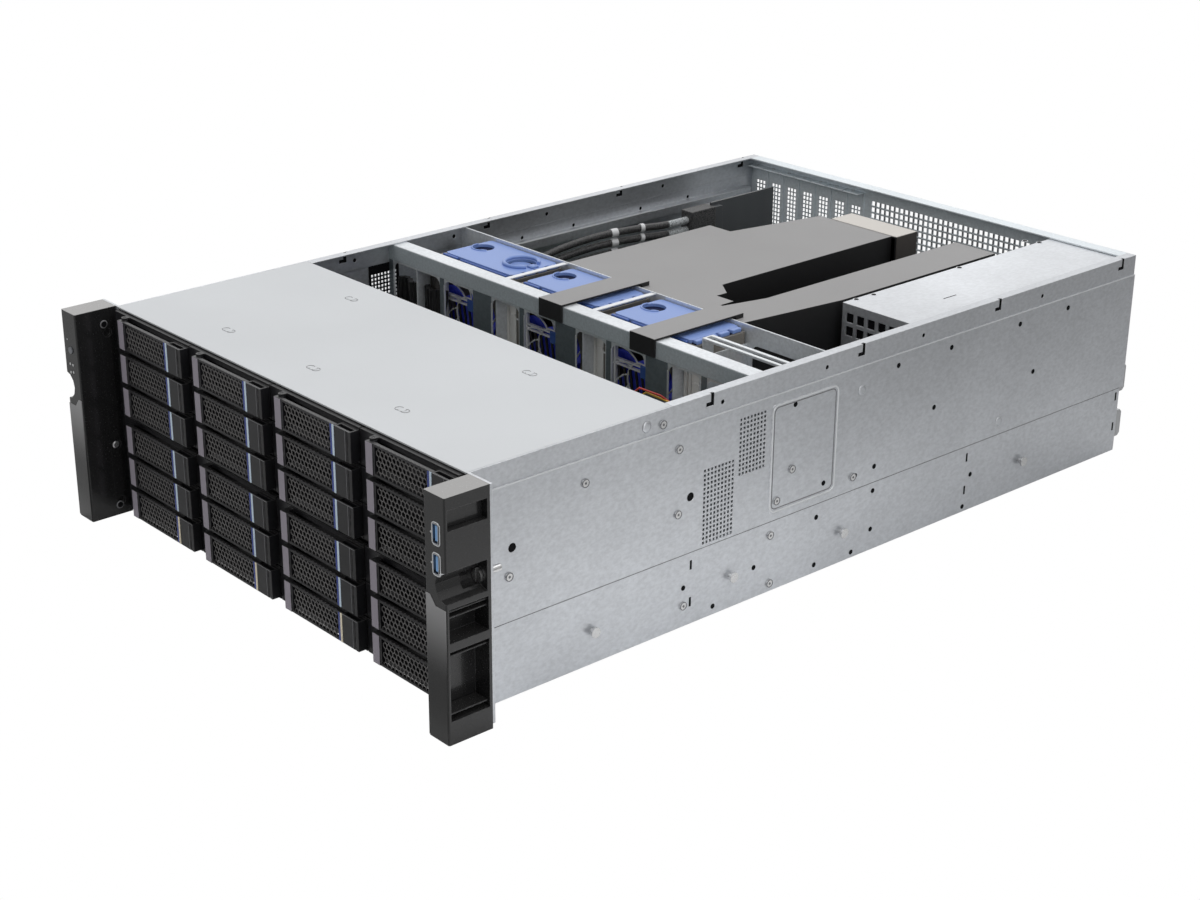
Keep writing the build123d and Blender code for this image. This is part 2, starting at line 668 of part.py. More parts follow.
# Backplane with its sockets, air slots and rear plugs
def backplane():
    side = -BAY_LEFT - BACKPLANE_EDGE
    top = cell_place(0, BAY_ROWS - 1)[1] + CELL_HEIGHT
    board = block(-side, side, BACKPLANE_Y, BACKPLANE_BACK, PAN_FLOOR, top - BACKPLANE_EDGE)
    slots = []
    sockets = []
    for column in range(BAY_COLUMNS):
        for row in range(BAY_ROWS):
            x, z = cell_place(column, row)
            middle = x + CELL_WIDTH / 2
            low = z + DRIVE_BOTTOM
            sockets.append(block(middle - SOCKET_WIDTH / 2, middle + SOCKET_WIDTH / 2,
                                 DRIVE_END + SOCKET_GAP, BACKPLANE_Y, low, low + SOCKET_HEIGHT))
            slots.append(block(x + BACKPLANE_SLOT_EDGE, x + CELL_WIDTH - BACKPLANE_SLOT_EDGE,
                               BACKPLANE_Y - 1, BACKPLANE_BACK + 1,
                               low + SOCKET_HEIGHT + 2, low + SOCKET_HEIGHT + 2 + BACKPLANE_SLOT_HEIGHT))
    plugs = []
    wide, deep, tall = POWER_PLUG_SIZE
    for column in range(BAY_COLUMNS):
        x, z = cell_place(column, BAY_ROWS - 1)
        middle = x + CELL_WIDTH / 2
        plugs.append(block(middle - wide / 2, middle + wide / 2, BACKPLANE_BACK,
                           BACKPLANE_BACK + deep, z - tall / 2, z + tall / 2))
    return [board - slots] + sockets + plugs + [cable_header()]


# Drive carrier, drawn once with its bay's left lower corner at the origin
def carrier_tray():
    left = BEZEL_EDGE_GAP
    right = CELL_WIDTH - BEZEL_EDGE_GAP
    top = CELL_HEIGHT - BEZEL_EDGE_GAP
    bezel = block(left, right, BEZEL_FRONT, 0, BEZEL_EDGE_GAP, top)
    window = block(LEVER_START + BEZEL_WINDOW_EDGE, LEVER_END - BEZEL_WINDOW_EDGE, BEZEL_FRONT - 1, 1,
                   BEZEL_EDGE_GAP + BEZEL_WINDOW_EDGE, top - BEZEL_WINDOW_EDGE)
    rails = []
    for x in (RAIL_GAP, CELL_WIDTH - RAIL_GAP - RAIL_THICK):
        rails.append(block(x, x + RAIL_THICK, -1, DRIVE_END, RUNNER_TOP, RUNNER_TOP + RAIL_HEIGHT))
    return bezel - window + rails


def hinge_lugs():
    """Ears above and below a swinging lever, with the holes that its pin turns in."""
    lugs = []
    top = CELL_HEIGHT - BEZEL_EDGE_GAP
    for z0, z1 in ((BEZEL_EDGE_GAP, LEVER_BOTTOM - HINGE_GAP), (LEVER_TOP + HINGE_GAP, top)):
        lug = rod_z(HINGE_X, HINGE_Y, z0, z1, HINGE_R)
        web = block(HINGE_X - HINGE_R, HINGE_X + HINGE_R, HINGE_Y, BEZEL_FRONT, z0, z1)
        hole = rod_z(HINGE_X, HINGE_Y, z0 - 1, z1 + 1, HINGE_PIN_R + HINGE_PIN_CLEAR, True)
        lugs.append(lug + web - hole)
    return lugs


def carrier_block():
    """Release block at the right end, hollow at its top."""
    left = LEVER_END + BLOCK_GAP
    right = left + BLOCK_WIDTH
    top = LEVER_TOP
    body = block(left, right, LEVER_FRONT, BEZEL_FRONT, LEVER_BOTTOM, top)
    hollow = block(left + BLOCK_WALL, right - BLOCK_WALL, LEVER_FRONT + BLOCK_WALL,
                   LEVER_FRONT + BLOCK_WALL + BLOCK_HOLLOW, LEVER_BOTTOM + 6, top + 1)
    grooves = [block(right - 4.2, right - 3.2, LEVER_FRONT - 1, LEVER_FRONT + 0.5, LEVER_BOTTOM - 1, top + 1)]
    return body - [hollow] - grooves


def lever_face():
    top = LEVER_TOP
    start = LEVER_START
    plate = block(start, LEVER_END, LEVER_FRONT, LEVER_BACK, LEVER_BOTTOM, top)
    window = block(start + STRIP_WIDTH + LEVER_FRAME, LEVER_END - BLUE_ZONE, LEVER_FRONT - 1,
                   LEVER_BACK + 1, LEVER_BOTTOM + LEVER_FRAME, top - LEVER_FRAME)
    strip = block(start, start + STRIP_WIDTH, LEVER_FRONT - STRIP_OUT, LEVER_FRONT, LEVER_BOTTOM, top)
    return plate - window + strip


def swinging_lever():
    barrel = rod_z(HINGE_X, HINGE_Y, LEVER_BOTTOM, LEVER_TOP, HINGE_R)
    pin_ends = LEVER_BOTTOM - HINGE_PIN_OUT, LEVER_TOP + HINGE_PIN_OUT
    return lever_face() + [barrel, rod_z(HINGE_X, HINGE_Y, *pin_ends, HINGE_PIN_R, True)]


def fixed_lever():
    root = block(LEVER_START, LEVER_START + 2 * HINGE_R, LEVER_BACK, BEZEL_FRONT, LEVER_BOTTOM, LEVER_TOP)
    return lever_face() + root


def drive():
    left = RAIL_GAP + RAIL_THICK
    body = block(left, left + DRIVE_WIDTH, DRIVE_START, DRIVE_END, DRIVE_BOTTOM, DRIVE_BOTTOM + DRIVE_HEIGHT)
    top = DRIVE_BOTTOM + DRIVE_HEIGHT
    recess = block(left + DRIVE_RECESS_SIDE, left + DRIVE_WIDTH - DRIVE_RECESS_SIDE,
                   DRIVE_START + DRIVE_RECESS_FRONT, DRIVE_END - DRIVE_RECESS_REAR,
                   top - DRIVE_RECESS_DEEP, top + 1)
    return body - recess


def write_carriers():
    tray = carrier_tray()
    filling = [drive(), carrier_block()]
    plain = [tray, fixed_lever()] + filling
    hinged = [tray + hinge_lugs()] + filling
    lever = swinging_lever()
    for column in range(BAY_COLUMNS):
        for row in range(BAY_ROWS):
            x, z = cell_place(column, row)
            place = Pos(x, 0, z)
            name = f"carrier_row{BAY_ROWS - row}_col{column + 1}"
            if row == BAY_ROWS - 1:
                write(name, *[place * piece for piece in hinged])
                write(f"lever_row1_col{column + 1}", place * lever)
            else:
                write(name, *[place * piece for piece in plain])


# Fan cage: front wall with windows, rear wall, end plates and floor rails
def wall_window(x0, x1, y0, y1):
    """Cutter for a tall window with rounded corners through a wall that lies across Y."""
    z0, z1 = WINDOW_FOOT, UPRIGHT_TOP
    plane = Plane(origin=((x0 + x1) / 2, y0 - 1, (z0 + z1) / 2), x_dir=(1, 0, 0), z_dir=(0, 1, 0))
    return extrude(plane * outline_face(rounded_points(x1 - x0, z1 - z0, WINDOW_CORNER)), y1 - y0 + 2)


def fan_centres():
    return [FAN_FIRST_X + k * FAN_PITCH for k in range(FAN_COUNT)]


def fan_cage():
    """Sheets of the fan cage, each a solid of its own that touches its neighbours."""
    side = LEG_IN
    top = COVER_UNDER
    edge = MODULE_WIDTH / 2 + MODULE_GAP
    centres = fan_centres()
    uprights = [x - edge - SHEET for x in centres] + [centres[-1] + edge]
    left_start = -side + SIDE_WINDOW_EDGE
    right_end = side - SIDE_WINDOW_EDGE
    window_spans = [(left_start, WINDOW_FIRST_X - SIDE_WINDOW_EDGE)]
    for k in range(FAN_COUNT):
        start = WINDOW_FIRST_X + k * WINDOW_PITCH
        for x0, x1 in (WINDOW_LEFT, WINDOW_RIGHT):
            window_spans.append((start + x0, start + x1))
    window_spans.append((window_spans[-1][1] + SIDE_WINDOW_EDGE, right_end))
    front = block(-side, side, FAN_WALL_Y, FAN_WALL_Y + SHEET, PAN_FLOOR, top - SHEET)
    front -= [wall_window(x0, x1, FAN_WALL_Y, FAN_WALL_Y + SHEET) for x0, x1 in window_spans]
    rail = block(-side, side, FAN_WALL_Y, FAN_WALL_Y + FAN_RAIL_DEPTH, top - SHEET, top)
    rear_start = FAN_CAGE_END - SHEET
    rear = block(-side, side, rear_start, FAN_CAGE_END, PAN_FLOOR, top)
    bores = [rod_y(x, rear_start - 1, FAN_CAGE_END + 1, z, FAN_BORE_R) for x in centres for z in fan_heights()]
    rear -= bores + [
        wall_window(left_start, uprights[0] - SIDE_WINDOW_EDGE, rear_start, FAN_CAGE_END),
        wall_window(uprights[-1] + SIDE_WINDOW_EDGE, right_end, rear_start, FAN_CAGE_END),
    ]
    sheets = [front, rail, rear]
    for x in uprights:
        sheets.append(block(x, x + SHEET, FAN_WALL_Y + SHEET, rear_start, PAN_FLOOR, UPRIGHT_TOP))
    last = uprights[-1]
    tie_start, tie_end = [FAN_WALL_Y + place for place in TIE_PLACES]
    sheets[-1] += block(last, last + SHEET, tie_start, tie_end + TIE_WIDTH, UPRIGHT_TOP, top)
    for y in (tie_start, tie_end):
        sheets.append(block(last + SHEET, side, y, y + TIE_WIDTH, top - TIE_THICK, top))
    return sheets


def fan_heights():
    """Middle heights of the lower and the upper fan of a module."""
    upper = MODULE_TOP - FAN_SIZE / 2
    return [upper - FAN_SIZE, upper]


def blades(x, y, z):
    parts = []
    root = FAN_HUB_R - 1
    tip = FAN_BORE_R - BLADE_GAP - 2
    for k in range(BLADE_COUNT):
        blade = Pos((root + tip) / 2, 0, 0) * Rot(BLADE_PITCH, 0, 0) * Box(tip - root, BLADE_CHORD, BLADE_THICK)
        parts.append(Pos(x, y, z) * Rot(0, 360 / BLADE_COUNT * k, 0) * blade)
    return parts


def rotor(x, z, turns):
    hub = rod_y(x, ROTOR_Y - ROTOR_DEPTH / 2, ROTOR_Y + ROTOR_DEPTH / 2, z, FAN_HUB_R, turns)
    return hub + blades(x, ROTOR_Y, z)


def fan_module(x):
    end = MODULE_END
    body = block(x - MODULE_WIDTH / 2, x + MODULE_WIDTH / 2, MODULE_FRONT, end, PAN_FLOOR, MODULE_TOP)
    cuts = []
    motors = []
    for z in fan_heights():
        cuts.append(rod_y(x, MODULE_FRONT - 1, end + 1, z, FAN_BORE_R))
        motors.append(rod_y(x, ROTOR_Y + ROTOR_DEPTH / 2 + ROTOR_GAP, end, z, FAN_HUB_R))
        for angle in (45, 135):
            arm = Box(2 * FAN_BORE_R + 4, GUARD_THICK, SPIDER_ARM)
            motors.append(Pos(x, end - GUARD_THICK / 2, z) * Rot(0, angle, 0) * arm)
    return body - cuts + motors


def fan_cap(x):
    half = CAP_WIDTH / 2
    rear = MODULE_END
    front = rear - CAP_DEPTH
    top = MODULE_TOP + CAP_THICK
    plate = block(x - half, x + half, front, rear, MODULE_TOP, top)
    plate = chamfer(plate.edges().filter_by(Axis.Z), CAP_CORNER)
    hole_place = Pos(x - half + CAP_HOLE_X, front + CAP_DEPTH / 2, MODULE_TOP - 1)
    oval = oval_points(CAP_HOLE_R, CAP_HOLE_R / 2, 2 * SMALL_SIDES)
    hole = hole_place * extrude(outline_face(oval), CAP_THICK + 2)
    ring_place = Pos(x + half - CAP_HOLE_X, front + CAP_DEPTH / 2, top)
    outer = RegularPolygon(RING_R + RING_WIRE, 2 * SMALL_SIDES)
    inner = RegularPolygon(RING_R, 2 * SMALL_SIDES)
    return plate - hole + ring_place * extrude(outer - inner, RING_WIRE)


# Air shroud: main duct, right arm and the straps over the fan cage
def duct_outline():
    notch_y = DUCT_FRONT + DUCT_NOTCH_AT
    step_y = DUCT_FRONT + DUCT_STEP_AT
    return [
        (DUCT_LEFT, DUCT_FRONT), (DUCT_NOTCH_X, DUCT_FRONT), (DUCT_NOTCH_X, notch_y - DUCT_NOTCH_SLANT),
        (DUCT_RIGHT, notch_y), (DUCT_RIGHT, DUCT_REAR), (DUCT_STEP_X + DUCT_STEP_SLANT, DUCT_REAR),
        (DUCT_STEP_X, step_y), (DUCT_LEFT, step_y),
    ]


def arm_outline():
    return [
        (ARM_LEFT, DUCT_FRONT), (ARM_RIGHT - ARM_SIDE_BEND, DUCT_FRONT),
        (ARM_RIGHT, DUCT_FRONT + ARM_SIDE_BEND_AT), (ARM_RIGHT, ARM_REAR),
        (ARM_BEND_X, ARM_REAR), (ARM_BEND_X, DUCT_FRONT + ARM_BEND_AT),
    ]


def hollow_duct(points, skirt):
    outer = flat_prism(points, skirt, SHROUD_TOP)
    bottom = outer.faces().sort_by(Axis.Z)[0]
    return offset(outer, amount=-SHROUD_SHEET, openings=bottom)


def duct_mouth(x0, x1, y, skirt):
    """Cutter that opens one end wall of a duct below its roof."""
    wall = 2 * SHROUD_SHEET
    return block(x0 + SHROUD_SHEET, x1 - SHROUD_SHEET, y - wall, y + wall,
                 skirt - 1, SHROUD_TOP - SHROUD_SHEET)


def air_shroud():
    duct = hollow_duct(duct_outline(), DUCT_SKIRT)
    duct -= duct_mouth(DUCT_LEFT, DUCT_NOTCH_X, DUCT_FRONT, DUCT_SKIRT)
    arm = hollow_duct(arm_outline(), ARM_SKIRT)
    arm -= [duct_mouth(ARM_LEFT, ARM_RIGHT - ARM_SIDE_BEND, DUCT_FRONT, ARM_SKIRT),
            duct_mouth(ARM_BEND_X, ARM_RIGHT, ARM_REAR, ARM_SKIRT)]
    bridge = block(DUCT_NOTCH_X - SHROUD_SHEET, ARM_LEFT + SHROUD_SHEET, DUCT_FRONT, DUCT_FRONT + BRIDGE_LONG,
                   SHROUD_TOP - SHROUD_SHEET, SHROUD_TOP)
    strap_low = COVER_UNDER + STRAP_GAP
    straps = []
    y0 = FAN_WALL_Y - STRAP_GAP - STRAP_THICK
    for centre, lead in zip(fan_centres()[1:], STRAP_LEADS):
        x = centre + lead
        straps.append(block(x, x + STRAP_WIDTH, y0, DUCT_FRONT + 8, strap_low, strap_low + STRAP_THICK))
        straps.append(block(x, x + STRAP_WIDTH, y0, y0 + STRAP_THICK, strap_low - STRAP_LIP, strap_low))
        straps.append(block(x, x + STRAP_WIDTH, DUCT_FRONT, DUCT_FRONT + 8,
                            SHROUD_TOP - SHROUD_SHEET, strap_low + STRAP_THICK))
    return duct + [arm, bridge] + straps


# Power supplies, their cage and release levers
def psu_floor(k):
    return PSU_FLOOR + k * (PSU_HEIGHT + PSU_SHELF + PSU_GAP)


def psu_cage():
    top = COVER_UNDER - STRAP_GAP
    outer = block(PSU_CAGE_LEFT, PSU_CAGE_RIGHT, PSU_CAGE_FRONT, REAR_FACE, PAN_FLOOR, top)
    inner = block(PSU_CAGE_LEFT + SHEET, PSU_CAGE_RIGHT - SHEET, PSU_CAGE_FRONT + SHEET, REAR_FACE + 1,
                  PSU_FLOOR, top - SHEET)
    shelves = []
    for k in range(1, PSU_COUNT + 1):
        z = psu_floor(k)
        shelves.append(block(PSU_CAGE_LEFT + SHEET, PSU_CAGE_RIGHT - SHEET,
                             PSU_CAGE_FRONT + SHEET, REAR_FACE, z - PSU_SHELF, z))
    cuts = []
    for row in range(PSU_HOLE_ROWS):
        for column in range(PSU_HOLE_COLUMNS):
            x = PSU_CAGE_LEFT + 4 + column * PSU_HOLE_PITCH
            z = top - 4 - (row + 1) * PSU_HOLE_PITCH
            cuts.append(block(x, x + PSU_HOLE, PSU_CAGE_FRONT - 1, PSU_CAGE_FRONT + SHEET + 1, z, z + PSU_HOLE))
    for k in range(PSU_COUNT):
        z = psu_floor(k)
        cuts.append(block(PSU_LEFT + 8, PSU_RIGHT - 8, PSU_CAGE_FRONT - 1, PSU_CAGE_FRONT + SHEET + 1,
                          z + 6, z + PSU_HEIGHT - 6))
    return outer - inner + shelves - cuts


def psu_module(k):
    """Closed case with a fan opening, a power inlet, a pull loop and the card edge at its front."""
    z = psu_floor(k)
    rear = BODY_DEPTH
    front = rear - PSU_LENGTH
    middle = z + PSU_HEIGHT / 2
    case = block(PSU_LEFT, PSU_RIGHT, front, rear, z, z + PSU_HEIGHT)
    fan_x = PSU_LEFT + PSU_FAN_INSET
    fan_floor = rear - PSU_FAN_DEEP
    fan_hole = rod_y(fan_x, fan_floor, rear + 1, middle, PSU_FAN_R)
    hub = rod_y(fan_x, fan_floor - 1, rear - PSU_HUB_BACK, middle, PSU_HUB_R)
    near, far = PSU_INLET
    low, high = PSU_INLET_Z
    rim = PSU_INLET_RIM
    inlet_floor = rear - PSU_INLET_DEEP
    inlet = block(PSU_RIGHT - far, PSU_RIGHT - near, inlet_floor, rear + 1, middle + low, middle + high)
    pin_bed = block(PSU_RIGHT - far + rim, PSU_RIGHT - near - rim, inlet_floor - 1, rear - rim,
                    middle + low + rim, middle + high - rim)
    wire = PSU_GRIP_WIRE
    grip_left = PSU_LEFT + PSU_GRIP_INSET
    grip_right = grip_left + 2 * PSU_FAN_R
    grip_low = middle + PSU_GRIP_LIFT
    grip = block(grip_left, grip_right, rear - 1, rear + PSU_GRIP_OUT, grip_low, grip_low + wire)
    gap = block(grip_left + wire, grip_right - wire, rear, rear + PSU_GRIP_OUT - wire,
                grip_low - 1, grip_low + wire + 1)
    low, high = PSU_EDGE_Z
    edge = block(PSU_LEFT + PSU_EDGE_INSET, PSU_RIGHT - PSU_EDGE_INSET,
                 front - PSU_EDGE_OUT, front + 1, z + low, z + high)
    return case - [fan_hole, inlet] + [hub, pin_bed, edge] + (grip - gap)


def psu_lever(k):
    """Release lever with a round root that it bends about."""
    z0 = psu_floor(k) + PSU_LEVER_LIFT
    z1 = z0 + PSU_LEVER_LONG
    left = PSU_RIGHT - PSU_LEVER_INSET
    half = PSU_LEVER_THICK / 2
    axis_y = BODY_DEPTH + PSU_LEVER_GAP + half
    plate = block(left, left + PSU_LEVER_THICK, axis_y, axis_y - half + PSU_LEVER_OUT, z0, z1)
    plate = chamfer(plate.edges().filter_by(Axis.X).group_by(Axis.Y)[-1], PSU_LEVER_TIP)
    return plate + rod_z(left + half, axis_y, z0, z1, half, True)


# Main board with heatsinks and memory
def main_board():
    left, right = board_sides()
    return block(left, right, BOARD_FRONT, BOARD_REAR, BOARD_BOTTOM, BOARD_TOP)


def heatsink(x, y):
    low = BOARD_TOP
    base = block(x - SINK_WIDTH / 2, x + SINK_WIDTH / 2, y, y + SINK_LENGTH, low, low + SINK_BASE)
    fins = []
    step = (SINK_WIDTH - SINK_FIN) / (SINK_FIN_COUNT - 1)
    for k in range(SINK_FIN_COUNT):
        left = x - SINK_WIDTH / 2 + k * step
        fins.append(block(left, left + SINK_FIN, y, y + SINK_LENGTH, low, low + SINK_HEIGHT))
    return base + fins


def memory():
    parts = []
    for x0, behind, count in DIMM_GROUPS:
        y0 = BOARD_FRONT + behind
        for k in range(count):
            x = x0 + k * DIMM_PITCH
            socket = block(x - DIMM_SOCKET_WIDTH / 2, x + DIMM_SOCKET_WIDTH / 2, y0, y0 + DIMM_LENGTH + 8,
                           BOARD_TOP, BOARD_TOP + DIMM_SOCKET_HEIGHT)
            groove = block(x - DIMM_THICK / 2, x + DIMM_THICK / 2, y0 + 4, y0 + 4 + DIMM_LENGTH,
                           BOARD_TOP + 2, BOARD_TOP + DIMM_SOCKET_HEIGHT + 1)
            stick = block(x - DIMM_THICK / 2, x + DIMM_THICK / 2, y0 + 4, y0 + 4 + DIMM_LENGTH,
                          BOARD_TOP + 2, BOARD_TOP + 2 + DIMM_HEIGHT)
            parts.extend([socket - groove, stick])
    return parts


# Rear wall, slot covers and rear ports
def slot_centres():
    return [SLOT_FIRST_X + k * SLOT_PITCH for k in range(SLOT_COUNT)]


def grille_slots():
    x0 = slot_centres()[-1] + GRILLE_AFTER_SLOTS
    x1 = PSU_CAGE_LEFT - GRILLE_BEFORE_CAGE
    z0, z1 = GRILLE_FOOT, BODY_TOP - GRILLE_DOWN
    step_x = (x1 - x0 + GRILLE_BAR) / GRILLE_COLUMNS
    step_z = (z1 - z0 + GRILLE_BAR) / GRILLE_ROWS
    slots = []
    for column in range(GRILLE_COLUMNS):
        for row in range(GRILLE_ROWS):
            x = x0 + column * step_x
            z = z0 + row * step_z
            slots.append(block(x, x + step_x - GRILLE_BAR, REAR_FACE - 1, BODY_DEPTH + 1,
                               z, z + step_z - GRILLE_BAR))
    return slots


def rear_panel():
    step = PAN_FLANGE_TOP + LAP
    inner_y = PAN_DEPTH - 2 * SHEET
    plate = block(-WALL_IN, WALL_IN, REAR_FACE, BODY_DEPTH, PAN_FLANGE_TOP, BAND_BOTTOM - SHEET)
    upper = block(-BAND_IN, BAND_IN, REAR_FACE, BODY_DEPTH, PAN_FLANGE_TOP, COVER_UNDER)
    lip_x = BAND_IN - TOP_LIP
    lip = block(-lip_x, lip_x, BODY_DEPTH - REAR_LIP, BODY_DEPTH, COVER_UNDER, BODY_TOP)
    lower = block(-LEG_IN, LEG_IN, inner_y, inner_y + SHEET, PAN_FLOOR, step)
    joint = block(-LEG_IN, LEG_IN, inner_y, BODY_DEPTH, step - SHEET, step)
    cuts = grille_slots()
    cuts.append(block(PSU_CAGE_LEFT, PSU_CAGE_RIGHT, inner_y - 1, REAR_FACE, PAN_FLOOR, COVER_UNDER))
    cuts.append(block(PSU_LEFT - PSU_GAP, PSU_RIGHT + PSU_GAP, inner_y - 1, BODY_DEPTH + 1,
                      PAN_FLOOR, psu_floor(PSU_COUNT)))
    for x in slot_centres():
        cuts.append(block(x - SLOT_WIDTH / 2, x + SLOT_WIDTH / 2, REAR_FACE - 1, BODY_DEPTH + 1,
                          SLOT_BOTTOM + 4, SLOT_TOP - 2))
    for x, wide, tall in PORT_ROW:
        cuts.append(block(x - wide / 2 - PORT_GAP, x + wide / 2 + PORT_GAP, inner_y - 1, PAN_DEPTH,
                          BOARD_TOP - PORT_GAP, BOARD_TOP + tall + PORT_GAP))
    return plate + [upper, lip, lower, joint] - cuts


def rear_ports():
    ports = []
    front = PAN_DEPTH - PORT_ROW_DEPTH
    for x, wide, tall in PORT_ROW:
        shell = block(x - wide / 2, x + wide / 2, front, PAN_DEPTH, BOARD_TOP, BOARD_TOP + tall)
        hollow = block(x - wide / 2 + PORT_WALL, x + wide / 2 - PORT_WALL,
                       PAN_DEPTH - PORT_HOLLOW, PAN_DEPTH + 1,
                       BOARD_TOP + PORT_WALL, BOARD_TOP + tall - PORT_WALL)
        ports.append(shell - hollow)
    return ports


def slot_covers():
    covers = []
    for x in slot_centres():
        y1 = REAR_FACE
        y0 = y1 - SLOT_COVER_THICK
        plate = block(x - SLOT_COVER_WIDTH / 2, x + SLOT_COVER_WIDTH / 2, y0, y1, SLOT_BOTTOM + 1, SLOT_TOP)
        tab = block(x - SLOT_COVER_WIDTH / 2, x + SLOT_COVER_WIDTH / 2, y0 - SLOT_COVER_TAB, y1,
                    SLOT_TOP - SLOT_COVER_THICK, SLOT_TOP)
        covers.append(plate + tab)
    return covers


# Block behind the main duct, standing on the board
def end_block():
    x0, x1 = END_BLOCK_SIDE
    y1 = DUCT_REAR + END_BLOCK_DEPTH
    body = block(x0, x1, DUCT_REAR, y1, BOARD_TOP, SHROUD_TOP)
    hollow = block(x0 + SHROUD_SHEET, x1 - SHROUD_SHEET, DUCT_REAR - 1, y1 - SHROUD_SHEET,
                   BOARD_TOP + END_BLOCK_SOLE, SHROUD_TOP - SHROUD_SHEET)
    return body - hollow


# Fasteners on the side walls
def rail_studs():
    studs = []
    for y in STUD_PLACES:
        neck = rod_x(HALF, HALF + STUD_NECK, y, STUD_Z, STUD_NECK_R)
        head = rod_x(HALF + STUD_NECK, HALF + STUD_NECK + STUD_HEAD, y, STUD_Z, STUD_HEAD_R)
        stud = neck + head
        studs.extend([stud, mirrored(stud)])
    return studs


def wall_screws():
    screws = []
    for y, z in SCREW_PLACES:
        face = BAND_OUT if z > BAND_BOTTOM else HALF
        head = rod_x(face, face + SCREW_HEIGHT, y, z, SCREW_R)
        screws.extend([head, mirrored(head)])
    return screws


# Cable bundle from the backplane along the left wall to the riser plug
# Each place is the distance from the wall's outer face, from the fan cage's front wall and from the foot.
CABLE_PLACES = [
    (27, 0, 70), (23, 43, 86), (24, 83, 112), (33, 136, 138),
    (43, 188, 149), (54, 238, 151), (60, 268, 149), (60, 295, 149),
]
CABLE_START = (34, 66)
CABLE_BEND_SHARE = 0.45


def cable_route():
    inset, z = CABLE_START
    start_y = BACKPLANE_BACK + CABLE_HEADER_DEEP + CABLE_FIRST_PLUG
    dip_y = start_y + CABLE_DIP_SHARE * (FAN_WALL_Y - start_y)
    route = [(inset - HALF, start_y, z), (inset - HALF, dip_y, z)]
    for from_wall, behind, height in CABLE_PLACES:
        route.append((from_wall - HALF, FAN_WALL_Y + behind, height))
    return route


CABLE_ROUTE = cable_route()


def cable_path(points):
    radii = []
    for a, b, c in zip(points, points[1:], points[2:]):
        before = Vector(*b) - Vector(*a)
        after = Vector(*c) - Vector(*b)
        half_turn = math.radians(before.get_angle(after)) / 2
        radii.append(CABLE_BEND_SHARE * min(before.length, after.length) / math.tan(half_turn))
    print("cable bend radii", [round(r, 1) for r in radii])
    return FilletPolyline(*points, radius=radii)


def cable_bundle():
    tubes = []
    for k in range(CABLE_COUNT):
        points = [(x, y, z - k * CABLE_SIDE_STEP) for x, y, z in CABLE_ROUTE]
        path = cable_path(points)
        section = Plane(origin=path @ 0, z_dir=path % 0) * RegularPolygon(CABLE_R, SMALL_SIDES)
        tube = sweep(section, path=path)
        print("cable length", round(path.length, 1), "volume ratio",
              round(tube.volume / (section.area * path.length), 4))
        tubes.append(tube)
    return tubes


def plug_box(place, y0, y1):
    """Box round the stacked ends of the cables, from one Y to another."""
    x, _, z = place
    low = z - (CABLE_COUNT - 1) * CABLE_SIDE_STEP - CABLE_R - CABLE_PLUG_OVER
    return block(x - CABLE_PLUG_WIDE / 2, x + CABLE_PLUG_WIDE / 2, y0, y1, low, z + CABLE_R + CABLE_PLUG_OVER)


def cable_plugs():
    start, end = CABLE_ROUTE[0], CABLE_ROUTE[-1]
    front = plug_box(start, BACKPLANE_BACK + CABLE_HEADER_DEEP, start[1])
    rear = plug_box(end, end[1], end[1] + CABLE_PLUG_LONG)
    return [front, rear]


def cable_header():
    return plug_box(CABLE_ROUTE[0], BACKPLANE_BACK, BACKPLANE_BACK + CABLE_HEADER_DEEP)


# Riser card on the main board, which the rear plug of the cables goes into
def riser_card():
    x = CABLE_ROUTE[-1][0]
    plug_end = CABLE_ROUTE[-1][1] + CABLE_PLUG_LONG
    half = BOARD_THICK / 2
    card = block(x - half, x + half, plug_end, plug_end + RISER_LONG, BOARD_TOP, RISER_TOP)
    socket = block(x - RISER_SOCKET / 2, x + RISER_SOCKET / 2, plug_end + 4, plug_end + RISER_LONG - 4,
                   BOARD_TOP, BOARD_TOP + RISER_SOCKET_TALL)
    header = plug_box(CABLE_ROUTE[-1], plug_end, plug_end + CABLE_HEADER_DEEP)
    return card + [socket, header]


# Writing all pieces
write("base_pan", base_pan())
right_wall = side_wall()
write("side_walls", right_wall, mirrored(right_wall) + left_wall_ledge())
write("front_cover", front_cover())
write("rear_panel", rear_panel())
write("left_handle", left_handle())
write("right_handle", right_handle())
write("power_button", power_button())
write("connectors", *front_ports(), *rear_ports(), *cable_plugs())
write("drive_cage", drive_cage())
write("backplane", *backplane())
write_carriers()
write("fan_cage", *fan_cage())
for number, x in enumerate(fan_centres(), 1):
    lower, upper = fan_heights()
    write(f"fan_module_{number}", fan_module(x), rotor(x, lower, False))
    write(f"fan_rotor_{number}", rotor(x, upper, True))
    write(f"fan_cap_{number}", fan_cap(x))
write("air_shroud", air_shroud(), end_block())
write("psu_cage", psu_cage())
for k in range(PSU_COUNT):
    write(f"psu_module_{k + 1}", psu_module(k))
    write(f"psu_lever_{k + 1}", psu_lever(k))
write("main_board", main_board(), riser_card())
write("heatsinks", *[heatsink(x, BOARD_FRONT + y) for x, y in SINK_PLACES])
write("memory_modules", *memory())
write("slot_covers", *slot_covers())
write("fasteners", *rail_studs(), *wall_screws(), *rack_screws())
write("cables", *cable_bundle())
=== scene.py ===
# %% [markdown]
# This lesson dresses a four-unit rack server. The hard parts, such as sheet metal, fan units and
# drive carriers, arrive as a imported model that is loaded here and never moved. What follows
# gives those parts their finishes, and adds the small repeated things that make a server look real:
# honeycomb fronts, perforated covers, screws, cable sleeves and light pipes.

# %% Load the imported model
import math

import bmesh
import bpy
from mathutils import Euler, Matrix, Vector


